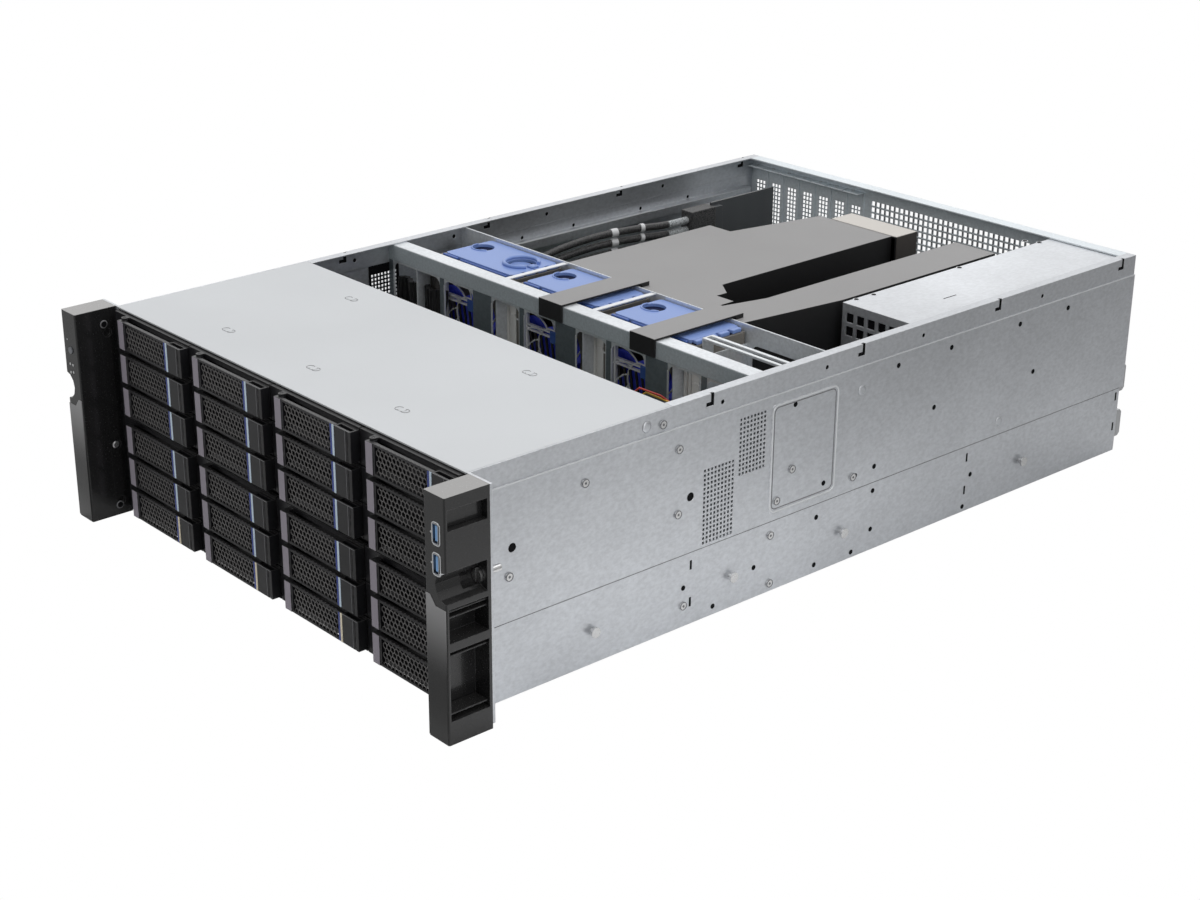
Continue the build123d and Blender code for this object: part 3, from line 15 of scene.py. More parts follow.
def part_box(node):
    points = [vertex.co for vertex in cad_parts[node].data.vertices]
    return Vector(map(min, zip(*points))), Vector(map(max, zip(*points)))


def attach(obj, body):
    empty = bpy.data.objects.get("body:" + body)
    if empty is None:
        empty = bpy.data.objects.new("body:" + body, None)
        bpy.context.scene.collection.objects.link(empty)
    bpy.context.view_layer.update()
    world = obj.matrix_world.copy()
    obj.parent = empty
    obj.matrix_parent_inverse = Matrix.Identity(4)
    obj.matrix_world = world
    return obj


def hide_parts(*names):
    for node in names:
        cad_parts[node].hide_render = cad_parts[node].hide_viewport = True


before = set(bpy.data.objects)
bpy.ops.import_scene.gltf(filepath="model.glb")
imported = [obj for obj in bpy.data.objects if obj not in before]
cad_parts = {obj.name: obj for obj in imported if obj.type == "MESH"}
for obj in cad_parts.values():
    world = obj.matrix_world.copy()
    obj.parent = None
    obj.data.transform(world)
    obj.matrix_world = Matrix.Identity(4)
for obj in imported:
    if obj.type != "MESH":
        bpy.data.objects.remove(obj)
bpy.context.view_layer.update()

# %% [markdown]
# All places below are written in millimetres, measured back from the front plane of the rack ears.
# The row frame puts its origin under the middle of the server, so one shift along Y joins the two.
# The side walls' sheet starts exactly on that plane, which gives the shift without a typed number.

# %% Millimetres behind the ears
MM = 0.001
EAR_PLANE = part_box("side_walls")[0].y
CHASSIS = "chassis"
ON_SHEET = (CHASSIS, "sheet_steel")
ON_EAR = (CHASSIS, "ear_plastic")
ON_CABLE = (CHASSIS, "cable_sleeve")
SIDES = ((1, "right"), (-1, "left"))
STAND_UP = Matrix.Rotation(math.radians(90), 4, "X")


def spot(x, y, z):
    """A point given in millimetres behind the ear plane, as a place in the row frame."""
    return Vector((x * MM, y * MM + EAR_PLANE, z * MM))


def to_row():
    """The same change of units and origin as a matrix for whole meshes."""
    return Matrix.Translation((0, EAR_PLANE, 0)) @ Matrix.Scale(MM, 4)


print("front plane of the ears at", round(EAR_PLANE, 4), "m")

# %% [markdown]
# Finishes come first, and they are trees of nodes. A few short functions each add one kind of node
# and hand back its result, so that a tree below reads like a sum and not like a list of boxes.

# %% Helpers for node trees
SOCKET_OF = {float: "NodeSocketFloat", int: "NodeSocketInt", tuple: "NodeSocketVector"}


def add(tree, kind, settings=None, inputs=None):
    """One node with its settings and its inputs, each a plain value or a socket to link from."""
    made = tree.nodes.new(kind)
    for key, value in (settings or {}).items():
        setattr(made, key, value)
    for key, value in (inputs or {}).items():
        socket = made.inputs[key]
        if isinstance(value, bpy.types.NodeSocket):
            tree.links.new(value, socket)
        else:
            socket.default_value = value
    return made


def calc(tree, operation, *values):
    """The result of one sum on plain values or sockets."""
    return add(tree, "ShaderNodeMath", {"operation": operation}, dict(enumerate(values))).outputs[0]


def ramp(tree, value, low, high, to_low=0.0, to_high=1.0, smooth=False):
    """A value carried from one span over to another, and held at the ends."""
    made = add(tree, "ShaderNodeMapRange", {"interpolation_type": "SMOOTHSTEP" if smooth else "LINEAR"},
               {"Value": value, "From Min": low, "From Max": high, "To Min": to_low, "To Max": to_high})
    return made.outputs["Result"]


def blend(tree, share, below, above):
    """A colour between two others: the first where the share is 0, the second where it is 1."""
    return add(tree, "ShaderNodeMix", {"data_type": "RGBA"}, {0: share, 6: below, 7: above}).outputs[2]


def parts_of(tree, vector):
    """The X, Y and Z of a vector, as sockets."""
    return add(tree, "ShaderNodeSeparateXYZ", None, {"Vector": vector}).outputs


def own_place(tree):
    """The place of a point in Object coordinates."""
    return add(tree, "ShaderNodeTexCoord").outputs["Object"]


def noise(tree, place, scale, detail, roughness=0.5):
    """A soft noise from 0 to 1."""
    made = add(tree, "ShaderNodeTexNoise", None,
               {"Vector": place, "Scale": scale, "Detail": detail, "Roughness": roughness})
    return made.outputs["Fac"]


def dot(tree, first, second):
    """How far two directions agree."""
    made = add(tree, "ShaderNodeVectorMath", {"operation": "DOT_PRODUCT"}, {0: first, 1: second})
    return made.outputs["Value"]


def new_group(name, kind, inputs, outputs):
    """An empty tree. An input is a default value, or the name of its kind where it has none."""
    tree = bpy.data.node_groups.new(name, kind)
    for label, value in inputs.items():
        has_default = type(value) in SOCKET_OF
        socket_type = SOCKET_OF[type(value)] if has_default else value
        socket = tree.interface.new_socket(label, in_out="INPUT", socket_type=socket_type)
        if has_default:
            socket.default_value = value
    for label, socket_type in outputs.items():
        tree.interface.new_socket(label, in_out="OUTPUT", socket_type=socket_type)
    start, end = tree.nodes.new("NodeGroupInput"), tree.nodes.new("NodeGroupOutput")
    return tree, start.outputs, end.inputs


# %% [markdown]
# On sheet metal a scuffed fold or cut edge is a thin brighter line, and the same line also paints a
# highlight where an edge catches the light.
# It could be painted by hand, but a Bevel node finds every edge by itself: where its rounded normal
# turns away from the true one there is an edge. A noise breaks the line up so that it isn't even.

# %% Group: rounded edges, scuffed edges and painted edge highlights
EDGE_TURN, BREAK_SPAN = (0.995, 0.80), (0.35, 0.7)


def edge_group():
    tree, get, give = new_group("edges", "ShaderNodeTree", {"Radius": 0.0006, "Breakup": 220.0},
                                {"Normal": "NodeSocketVector", "Wear And Highlight": "NodeSocketFloat"})
    bevel = add(tree, "ShaderNodeBevel", {"samples": 4}, {"Radius": get["Radius"]})
    flat = add(tree, "ShaderNodeNewGeometry")
    edge = ramp(tree, dot(tree, bevel.outputs["Normal"], flat.outputs["Normal"]), *EDGE_TURN)
    broken = ramp(tree, noise(tree, own_place(tree), get["Breakup"], 3.0), *BREAK_SPAN)
    tree.links.new(bevel.outputs["Normal"], give["Normal"])
    tree.links.new(calc(tree, "MULTIPLY", edge, broken), give["Wear And Highlight"])
    return tree


# %% [markdown]
# Rolled, coated and moulded surfaces all have a grain. One group serves them all: noise that can be
# stretched along an axis, as a rolling mill stretches it, with a second, much larger noise that
# makes soft clouds, because no real sheet has one even tone.

# %% Group: grain and clouds
def grain_group():
    tree, get, give = new_group("grain", "ShaderNodeTree",
                                {"Stretch": (1.0, 1.0, 1.0), "Scale": 900.0, "Cloud Scale": 6.0},
                                {"Grain": "NodeSocketFloat", "Cloud": "NodeSocketFloat"})
    place = own_place(tree)
    pulled = add(tree, "ShaderNodeVectorMath", {"operation": "MULTIPLY"}, {0: place, 1: get["Stretch"]})
    tree.links.new(noise(tree, pulled.outputs[0], get["Scale"], 2.0), give["Grain"])
    tree.links.new(noise(tree, place, get["Cloud Scale"], 4.0), give["Cloud"])
    return tree


# %% [markdown]
# A little dust settles on what faces up. The mask is the upward share of the normal times a noise.

# %% Group: dust
def facing_up(tree, low, high):
    """How far a face looks up: 0 below the first value of its normal's Z, 1 above the second."""
    normal = add(tree, "ShaderNodeNewGeometry").outputs["Normal"]
    return ramp(tree, parts_of(tree, normal)["Z"], low, high)


def dust_group():
    tree, get, give = new_group("dust", "ShaderNodeTree", {"Amount": 0.1}, {"Mask": "NodeSocketFloat"})
    patch = calc(tree, "MULTIPLY", facing_up(tree, 0.6, 1.0), noise(tree, own_place(tree), 35.0, 6.0, 0.7))
    tree.links.new(calc(tree, "MULTIPLY", patch, get["Amount"]), give["Mask"])
    return tree


EDGES, GRAIN, DUST = edge_group(), grain_group(), dust_group()
print("shared effects:", [tree.name for tree in (EDGES, GRAIN, DUST)])

# %% [markdown]
# Every finish of the server is some base colour, a grain, clouds, scuffed edges with a painted highlight and
# dust in its own strengths. A single function places the groups and the shader, and each finish passes its
# values.
# Colours are linear, because that is what the shader's sockets hold.

# %% One function for the solid finishes
DUST_COLOUR = (0.5, 0.49, 0.47, 1.0)
NOISE_SPAN, SHEEN_SPREAD = (0.3, 0.7), 0.15
RUB_AND_HIGHLIGHT_GAIN, RUB_AND_HIGHLIGHT_LIFT = 1.6, 0.03
RELIEF_DEPTH, COAT_ROUGHNESS = 0.0004, 0.08


def finish(name, colour, rough, metal=0.0, grain=(1.0, 1.0, 1.0), grain_scale=900.0, bump=0.02,
           cloud=0.12, wear=0.25, wear_and_highlight_colour=None, dust=0.06, radius=0.0006, coat=0.0, specular=0.5,
           speckle=0.0):
    material = bpy.data.materials.new(name)
    material.use_nodes = True
    tree = material.node_tree
    shader = tree.nodes["Principled BSDF"]
    edges = add(tree, "ShaderNodeGroup", {"node_tree": EDGES}, {"Radius": radius}).outputs
    grains = add(tree, "ShaderNodeGroup", {"node_tree": GRAIN},
                 {"Stretch": grain, "Scale": grain_scale}).outputs
    dusty = add(tree, "ShaderNodeGroup", {"node_tree": DUST}, {"Amount": dust}).outputs
    light = tuple(min(1.0, channel * (1 + cloud)) for channel in colour) + (1.0,)
    dark = tuple(channel * (1 - cloud) for channel in colour) + (1.0,)
    # The edge colour stands for real scuffs and also for a painted highlight along the edge.
    own_rubbed_and_highlight = [min(1.0, channel * RUB_AND_HIGHLIGHT_GAIN + RUB_AND_HIGHLIGHT_LIFT) for channel in colour]
    rubbed_and_highlight = tuple(wear_and_highlight_colour or own_rubbed_and_highlight) + (1.0,)
    cloudy = blend(tree, ramp(tree, grains["Cloud"], *NOISE_SPAN), dark, light)
    spots = ramp(tree, grains["Grain"], *NOISE_SPAN, 1 - speckle, 1 + speckle)
    spotted = add(tree, "ShaderNodeVectorMath", {"operation": "SCALE"}, {0: cloudy, "Scale": spots})
    worn_and_highlighted = blend(tree, calc(tree, "MULTIPLY", edges["Wear And Highlight"], wear), spotted.outputs[0], rubbed_and_highlight)
    tree.links.new(blend(tree, dusty["Mask"], worn_and_highlighted, DUST_COLOUR), shader.inputs["Base Color"])
    sheen = ramp(tree, grains["Grain"], 0.0, 1.0, rough * (1 - SHEEN_SPREAD),
                 min(1.0, rough * (1 + SHEEN_SPREAD)))
    tree.links.new(sheen, shader.inputs["Roughness"])
    relief = add(tree, "ShaderNodeBump", None,
                 {"Strength": bump, "Distance": RELIEF_DEPTH, "Height": grains["Grain"],
                  "Normal": edges["Normal"]})
    tree.links.new(relief.outputs["Normal"], shader.inputs["Normal"])
    shader.inputs["Metallic"].default_value = metal
    shader.inputs["Specular IOR Level"].default_value = specular
    shader.inputs["Coat Weight"].default_value = coat
    shader.inputs["Coat Roughness"].default_value = COAT_ROUGHNESS
    return material


# %% [markdown]
# The finishes themselves start with the sheets. Zinc-coated steel is a bright metal, rolled along its
# length, with cut edges that shine as a painted highlight. The supply cage, the rear wall and the fan wall
# catch the light in their own ways, so each is a copy of the zinc with painted light, its own lighter tone.
# The lid over the drives is coated pale grey.

# %% Finishes of sheets and bare metal
SHEET_METAL = {"grain_scale": 420.0, "wear": 1.0, "radius": 0.0008}
ROLLED = (1.0, 0.6, 1.0)
BRIGHT_EDGE_HIGHLIGHT, COOL_EDGE_HIGHLIGHT = (0.95, 0.96, 0.98), (0.97, 0.98, 1.0)
ZINC = finish("zinc_sheet", (0.63, 0.65, 0.68), 0.36, metal=0.85, grain=ROLLED, speckle=0.08,
              wear_and_highlight_colour=BRIGHT_EDGE_HIGHLIGHT, **SHEET_METAL)
CAGE_ZINC_PAINTED_LIGHT = finish("cage_zinc_painted_light", (0.70, 0.72, 0.75), 0.38, metal=0.75, grain=ROLLED, speckle=0.06,
                   wear_and_highlight_colour=BRIGHT_EDGE_HIGHLIGHT, **SHEET_METAL)
REAR_ZINC_PAINTED_LIGHT = finish("rear_zinc_painted_light", (0.78, 0.84, 0.88), 0.4, metal=0.12, speckle=0.06,
                   wear_and_highlight_colour=COOL_EDGE_HIGHLIGHT, **SHEET_METAL)
FAN_ZINC_PAINTED_LIGHT = finish("fan_wall_zinc_painted_light", (0.76, 0.79, 0.82), 0.36, metal=0.55, cloud=0.1, speckle=0.08,
                  wear_and_highlight_colour=COOL_EDGE_HIGHLIGHT, **SHEET_METAL)
# Painted shade: a dark slate skin for the fan wall between its windows.
WALL_PAINTED_SHADE = finish("fan_wall_painted_shade", (0.17, 0.20, 0.22), 0.42, metal=0.5, cloud=0.2, speckle=0.1, grain_scale=420.0)
LID = finish("lid_coating", (0.60, 0.62, 0.64), 0.45, metal=0.1, cloud=0.03, wear=0.6)
# Painted light: the lit tone of the fan cage's bent front rail.
RAIL_PAINTED_LIGHT = finish("rail_painted_light", (0.46, 0.51, 0.54), 0.35, metal=0.2, cloud=0.1, wear=0.6, speckle=0.1,
                   grain_scale=500.0)
# Pale rims; the same finish also paints highlights along edges and lines.
PALE_RIM_AND_HIGHLIGHT = finish("pale_rim_and_highlight", (0.80, 0.82, 0.84), 0.3, metal=0.6, cloud=0.04, wear=0.3)
SEAM = finish("seam_dark", (0.16, 0.165, 0.175), 0.6, wear=0.0)
DARK = finish("deep_shadow", (0.004, 0.004, 0.005), 0.7, cloud=0.3, wear=0.0, dust=0.0, specular=0.1)
SUPPLY = finish("supply_plating", (0.5, 0.51, 0.52), 0.4, metal=0.8, cloud=0.1)
CONNECTOR = finish("connector_plating", (0.55, 0.56, 0.58), 0.3, metal=1.0, radius=0.0003)
SINK = finish("sink_aluminium", (0.6, 0.61, 0.62), 0.38, metal=1.0, grain=(1.0, 0.05, 1.0))
STEEL = finish("screw_steel", (0.7, 0.7, 0.7), 0.28, metal=1.0, radius=0.0003)

# %% [markdown]
# The front is moulded: glossy black ears, satin black carriers and levers, a dark grey honeycomb whose
# edges shine with a brownish painted highlight, and a mauve strip whose fine ribs are only a stretched
# grain.

# %% Finishes of the front
EAR_LOOK = {"colour": (0.014, 0.014, 0.0145), "rough": 0.26, "cloud": 0.2, "wear": 0.6, "bump": 0.01,
            "wear_and_highlight_colour": (0.16, 0.16, 0.17), "coat": 0.3, "radius": 0.0009}
EAR = finish("ear_black", **EAR_LOOK)
CARRIER = finish("carrier_black", (0.012, 0.012, 0.014), 0.36, wear=0.8, wear_and_highlight_colour=(0.20, 0.19, 0.19))
LEVER_BLACK = finish("lever_black", (0.015, 0.015, 0.018), 0.32, wear=0.7, wear_and_highlight_colour=(0.2, 0.2, 0.22),
                     radius=0.0005)
# Painted highlight: the brownish colour along the honeycomb's edges.
GRID_BLACK = finish("honeycomb_black", (0.155, 0.15, 0.15), 0.35, metal=0.4, wear=0.9,
                    wear_and_highlight_colour=(0.42, 0.40, 0.38), radius=0.0002)
STRIP = finish("strip_mauve", (0.34, 0.31, 0.36), 0.45, grain=(1.0, 1.0, 0.02), grain_scale=2500.0,
               bump=0.25, cloud=0.08, wear=0.8, wear_and_highlight_colour=(0.62, 0.62, 0.68))
DEEP_BLUE = finish("zone_deep_blue", (0.02, 0.05, 0.30), 0.25, coat=0.3, wear=0.2)
LINE_BLUE = finish("line_light_blue", (0.72, 0.86, 1.0), 0.3, cloud=0.02, wear=0.1)
LINE_CREAM = finish("line_cream", (0.95, 0.86, 0.66), 0.4, cloud=0.04, wear=0.1)
BUTTON = finish("button_grey", (0.22, 0.23, 0.25), 0.3, radius=0.0005)
PORT_BLUE = finish("port_blue", (0.25, 0.50, 0.88), 0.4, cloud=0.04)
TIE = finish("tie_white", (0.72, 0.73, 0.74), 0.45, cloud=0.05)
PIPE_GREY = finish("pipe_grey", (0.20, 0.20, 0.21), 0.4, cloud=0.05, wear=0.5)

# %% [markdown]
# Inside, the parts that hands may touch are periwinkle blue. The fans are blue and brownish grey, the
# cables wear a woven black sleeve whose weave is a strong speckle, and the boards are green.

# %% Finishes of the inside
TOUCH_BLUE = finish("touch_blue", (0.20, 0.31, 0.66), 0.36, cloud=0.05, wear=0.6,
                    wear_and_highlight_colour=(0.60, 0.70, 0.95), radius=0.0009)
# Painted shade for the wells under the caps' holes.
CAP_WELL_SHADE = finish("cap_well_painted_shade", (0.004, 0.008, 0.04), 0.6, wear=0.0, dust=0.0, specular=0.1)
LATCH_BLUE = finish("latch_blue", (0.05, 0.12, 0.42), 0.4, cloud=0.06, wear=0.4,
                    wear_and_highlight_colour=(0.2, 0.35, 0.8))
ROTOR_BLUE = finish("rotor_blue", (0.07, 0.10, 0.85), 0.3, cloud=0.1, wear=0.6,
                    wear_and_highlight_colour=(0.35, 0.45, 1.0))
FAN_GREY = finish("fan_frame_grey", (0.20, 0.185, 0.165), 0.5, cloud=0.08, wear=0.5,
                  wear_and_highlight_colour=(0.55, 0.53, 0.5), radius=0.0009)
# Painted shade for the fans' vanes and for the bay beside fan 1.
FAN_PAINTED_SHADE = finish("fan_vane_painted_shade", (0.022, 0.019, 0.017), 0.45, wear=0.5, wear_and_highlight_colour=(0.3, 0.28, 0.25))
GUARD_PALE = finish("guard_pale", (0.80, 0.80, 0.82), 0.4, cloud=0.05, wear=0.6,
                    wear_and_highlight_colour=(0.8, 0.8, 0.85))
COLUMN = finish("column_pale", (0.92, 0.90, 0.87), 0.4, cloud=0.05, wear=0.6, wear_and_highlight_colour=(1.0, 1.0, 1.0))
BEIGE = finish("block_beige", (0.62, 0.59, 0.55), 0.55, bump=0.1, cloud=0.05)
BROWN = finish("block_brown", (0.05, 0.043, 0.038), 0.5, cloud=0.15, wear=0.4,
               wear_and_highlight_colour=(0.3, 0.28, 0.26))
SLEEVE = finish("sleeve_black", (0.05, 0.05, 0.051), 0.45, grain_scale=800.0, bump=0.5, wear=0.0,
                speckle=0.95)
SLEEVE_PALE = finish("sleeve_pale", (0.34, 0.36, 0.37), 0.5, grain_scale=1100.0, bump=0.4, cloud=0.2,
                     speckle=0.8)
SLEEVE_DARK = finish("sleeve_dark", (0.012, 0.012, 0.013), 0.5, wear=0.0, dust=0.0)
WIRE_RED = finish("wire_red", (0.45, 0.03, 0.02), 0.4)
WIRE_YELLOW = finish("wire_yellow", (0.65, 0.38, 0.04), 0.4)
WIRE_GREEN = finish("wire_green", (0.03, 0.25, 0.08), 0.4)
BOARD_LOOK = {"colour": (0.012, 0.06, 0.028), "rough": 0.4, "grain_scale": 400.0, "bump": 0.1, "coat": 0.3}
BOARD = finish("board_green", **BOARD_LOOK)
MEMORY = finish("memory_green", (0.01, 0.05, 0.03), 0.4, grain_scale=500.0, bump=0.1)

# %% [markdown]
# Four finishes have a second tone, laid in by a mask. The air shroud is grey and leathery on the faces
# that look up and near black on the others, and the ears' top faces are paler than their sides, a painted
# highlight. The riser card stands on the green board and is dark above it. The ears' lower bar carries a
# painted reflection that falls from grey to black with height, which is how gloss looks in a studio.

# %% Finishes with two tones
EAR_TOP_HIGHLIGHT_Z, CARD_Z, BAR_REFLECTION_Z = (0.168, 0.171), (0.02, 0.03), (0.045, 0.11)
ROOF_NORMAL = (0.5, 0.8)


def by_height(tree, span, smooth=False):
    """A share that grows from 0 to 1 between two heights in metres."""
    return ramp(tree, parts_of(tree, own_place(tree))["Z"], *span, smooth=smooth)


def second_tone(material, share, below=None, above=None):
    """A second colour where the share is 0 or 1; the other end keeps the finish's own colour."""
    tree = material.node_tree
    base = tree.nodes["Principled BSDF"].inputs["Base Color"]
    own = base.links[0].from_socket
    tree.links.new(blend(tree, share, below or own, above or own), base)


EAR_SHELL = finish("ear_shell_painted_top_highlight", **EAR_LOOK)
shell = EAR_SHELL.node_tree
# Painted highlight: the ears' top faces above a height are paler than their sides.
ear_top_highlight = calc(shell, "MULTIPLY", facing_up(shell, *ROOF_NORMAL), by_height(shell, EAR_TOP_HIGHLIGHT_Z))
second_tone(EAR_SHELL, ear_top_highlight, above=(0.28, 0.275, 0.27, 1.0))
SHROUD = finish("shroud_grey", (0.288, 0.284, 0.286), 0.55, grain_scale=1100.0, bump=0.35, cloud=0.05,
                wear_and_highlight_colour=(0.3, 0.3, 0.3))
# Grey on faces that look up, near black on the others.
second_tone(SHROUD, facing_up(SHROUD.node_tree, *ROOF_NORMAL), below=(0.010, 0.010, 0.011, 1.0))
MAIN_BOARD = finish("board_by_height", **BOARD_LOOK)
second_tone(MAIN_BOARD, by_height(MAIN_BOARD.node_tree, CARD_Z), above=(0.05, 0.055, 0.06, 1.0))
# Painted reflection: the polished bar is grey high up and falls to black lower down.
EAR_BAR = finish("ear_bar_painted_reflection", (0.36, 0.36, 0.365), 0.25, cloud=0.05, wear=0.2, bump=0.01, coat=0.3)
second_tone(EAR_BAR, by_height(EAR_BAR.node_tree, BAR_REFLECTION_Z, smooth=True), below=(0.004, 0.004, 0.004, 1.0))
print("finishes:", len(bpy.data.materials))

# %% [markdown]
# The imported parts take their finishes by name. Nothing is moved: only the material slot changes.
# Parts that come many times, such as the carriers, share the start of their names.

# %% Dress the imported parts
FINISH_BY_START = {
    "base_pan": ZINC, "side_walls": ZINC, "drive_cage": ZINC, "rear_panel": REAR_ZINC_PAINTED_LIGHT,
    "slot_covers": REAR_ZINC_PAINTED_LIGHT, "fan_cage": FAN_ZINC_PAINTED_LIGHT, "psu_cage": CAGE_ZINC_PAINTED_LIGHT, "front_cover": LID,
    "left_handle": EAR_SHELL, "right_handle": EAR_SHELL, "power_button": BUTTON, "connectors": CONNECTOR,
    "backplane": BOARD, "main_board": MAIN_BOARD, "air_shroud": SHROUD, "heatsinks": SINK,
    "memory_modules": MEMORY, "fasteners": STEEL, "cables": SLEEVE, "carrier_row": CARRIER,
    "lever_row": LEVER_BLACK, "fan_module": FAN_GREY, "fan_rotor": ROTOR_BLUE, "fan_cap": TOUCH_BLUE,
    "psu_module": SUPPLY, "psu_lever": SUPPLY,
}


def finish_for(node):
    for start, material in FINISH_BY_START.items():
        if node.startswith(start):
            return material
    raise ValueError("no finish for " + node)


for node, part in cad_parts.items():
    for slot in part.material_slots:
        slot.material = finish_for(node)
print("dressed", len(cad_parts), "packed parts")

# %% [markdown]
# Small added pieces are built as meshes in millimetres and moved into the row frame once, so every
# finished object sits unturned at the origin. A piece collects blocks and rods, gets a small bevel on
# its corners, and rides on the body that carries it.

# %% Helpers for added pieces
def add_block(mesh, low, high):
    """A closed box between two corners, in millimetres."""
    centre = [(a + b) / 2 for a, b in zip(low, high)]
    size = [b - a for a, b in zip(low, high)]
    place = Matrix.Translation(centre) @ Matrix.Diagonal((*size, 1.0))
    bmesh.ops.create_cube(mesh, size=1.0, matrix=place)


def add_pair(mesh, x_span, low, high):
    """The same box on the right and on the left: a span along X, then the Y and Z of two corners."""
    near, far = x_span
    add_block(mesh, (near, *low), (far, *high))
    add_block(mesh, (-far, *low), (-near, *high))


def add_rod(mesh, middle, axis, length, radius, sides=24, tip=None):
    """A closed rod, or a cone with another tip radius, along an axis through its middle."""
    turn = Vector((0, 0, 1)).rotation_difference(Vector(axis)).to_matrix().to_4x4()
    bmesh.ops.create_cone(mesh, cap_ends=True, segments=sides, radius1=radius,
                          radius2=radius if tip is None else tip, depth=length,
                          matrix=Matrix.Translation(middle) @ turn)


def take_in(mesh, data):
    """Adds a scratch mesh to a mesh and removes it."""
    mesh.from_mesh(data)
    bpy.data.meshes.remove(data)


def piece(name, mesh, material, body, slot, bevel=0.0, smooth=False):
    """Turns a mesh in millimetres into a finished object that rides on a body."""
    data = bpy.data.meshes.new(name)
    mesh.to_mesh(data)
    mesh.free()
    data.transform(to_row())
    data.materials.append(material)
    made = bpy.data.objects.new(name, data)
    bpy.context.scene.collection.objects.link(made)
    if bevel:
        rounding = made.modifiers.new("rounding", "BEVEL")
        rounding.width = bevel * MM
        rounding.segments = 2
        rounding.limit_method = "ANGLE"
    if smooth:
        data.shade_smooth()
    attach(made, body)
    return made


def block_mesh(blocks, x=0.0):
    """A mesh of boxes, each given by its two corners, all moved along X."""
    mesh = bmesh.new()
    for low, high in blocks:
        add_block(mesh, (low[0] + x, *low[1:]), (high[0] + x, *high[1:]))
    return mesh


def block_piece(name, blocks, material, body, slot, bevel=0.0):
    """A piece made of boxes alone."""
    return piece(name, block_mesh(blocks), material, body, slot, bevel)


# %% [markdown]
# Sheets full of holes are the signature of a server. One Geometry Nodes tree makes them all: a grid
# of cells, every second row shifted if wanted, and on each point a ring with as many sides as the hole
# has. Rings share their outer edge, so the sheet is real metal between real holes.

# %% Geometry Nodes: perforated sheet
ONE_SHAPE = {"Geometry": "NodeSocketGeometry"}


def end_with_copies(tree, get, give, points, shape, turn=None):
    """The last nodes of a tree: a shape on every point, made real and given its material."""
    inputs = {"Points": points, "Instance": shape}
    if turn is not None:
        inputs["Rotation"] = turn
    copies = add(tree, "GeometryNodeInstanceOnPoints", None, inputs)
    real = add(tree, "GeometryNodeRealizeInstances", None, {"Geometry": copies.outputs[0]})
    coloured = add(tree, "GeometryNodeSetMaterial", None,
                   {"Geometry": real.outputs[0], "Material": get["Material"]})
    tree.links.new(coloured.outputs[0], give[0])
    return tree


def perforated_tree():
    tree, get, give = new_group("perforated_sheet", "GeometryNodeTree", {
        "Columns": 10, "Rows": 5, "Pitch X": 3.0, "Pitch Y": 2.6, "Shift": 0.5, "Sides": 6,
        "Ring Radius": 1.6, "Turn": 0.0, "Wall": 0.3, "Thickness": 0.5,
        "Material": "NodeSocketMaterial"}, ONE_SHAPE)
    wide = calc(tree, "SUBTRACT", calc(tree, "MULTIPLY", get["Columns"], get["Pitch X"]), get["Pitch X"])
    tall = calc(tree, "SUBTRACT", calc(tree, "MULTIPLY", get["Rows"], get["Pitch Y"]), get["Pitch Y"])
    grid = add(tree, "GeometryNodeMeshGrid", None,
               {"Size X": wide, "Size Y": tall, "Vertices X": get["Columns"], "Vertices Y": get["Rows"]})
    place = parts_of(tree, add(tree, "GeometryNodeInputPosition").outputs[0])
    height = calc(tree, "ADD", place["Y"], calc(tree, "MULTIPLY", tall, 0.5))
    row = calc(tree, "ROUND", calc(tree, "DIVIDE", height, get["Pitch Y"]))
    step = calc(tree, "MULTIPLY", calc(tree, "FLOORED_MODULO", row, 2.0), get["Shift"])
    slide = add(tree, "ShaderNodeCombineXYZ", None, {"X": calc(tree, "MULTIPLY", step, get["Pitch X"])})
    shifted = add(tree, "GeometryNodeSetPosition", None,
                  {"Geometry": grid.outputs["Mesh"], "Offset": slide.outputs[0]})
    ring = add(tree, "GeometryNodeCurvePrimitiveCircle", None,
               {"Resolution": get["Sides"], "Radius": get["Ring Radius"]})
    bar = add(tree, "GeometryNodeCurvePrimitiveQuadrilateral", None,
              {"Width": get["Wall"], "Height": get["Thickness"]})
    cell = add(tree, "GeometryNodeCurveToMesh", None,
               {"Curve": ring.outputs["Curve"], "Profile Curve": bar.outputs["Curve"]})
    turn = add(tree, "ShaderNodeCombineXYZ", None, {"Z": get["Turn"]})
    turned = add(tree, "FunctionNodeEulerToRotation", None, {0: turn.outputs[0]})
    return end_with_copies(tree, get, give, shifted.outputs["Geometry"], cell.outputs["Mesh"],
                           turned.outputs[0])


PERFORATED = perforated_tree()

# %% [markdown]
# A tree only describes a shape. To become part of a piece it is hung on a scratch object with its
# named inputs filled in, evaluated once, and kept as a plain mesh.

# %% Bake a tree
def baked(tree, values, seed_mesh=None):
    """The plain mesh that a tree gives for named input values."""
    data = seed_mesh or bpy.data.meshes.new("seed")
    holder = bpy.data.objects.new("holder", data)
    bpy.context.scene.collection.objects.link(holder)
    modifier = holder.modifiers.new("build", "NODES")
    modifier.node_group = tree
    for item in tree.interface.items_tree:
        if item.in_out == "INPUT" and item.name in values:
            modifier[item.identifier] = values[item.name]
    bpy.context.view_layer.update()
    evaluated = holder.evaluated_get(bpy.context.evaluated_depsgraph_get())
    result = bpy.data.meshes.new_from_object(evaluated)
    bpy.data.objects.remove(holder)
    return result


def add_sheet(mesh, values, place):
    """Adds one perforated sheet, turned and moved by a matrix in millimetres."""
    data = baked(PERFORATED, values)
    data.transform(place)
    take_in(mesh, data)


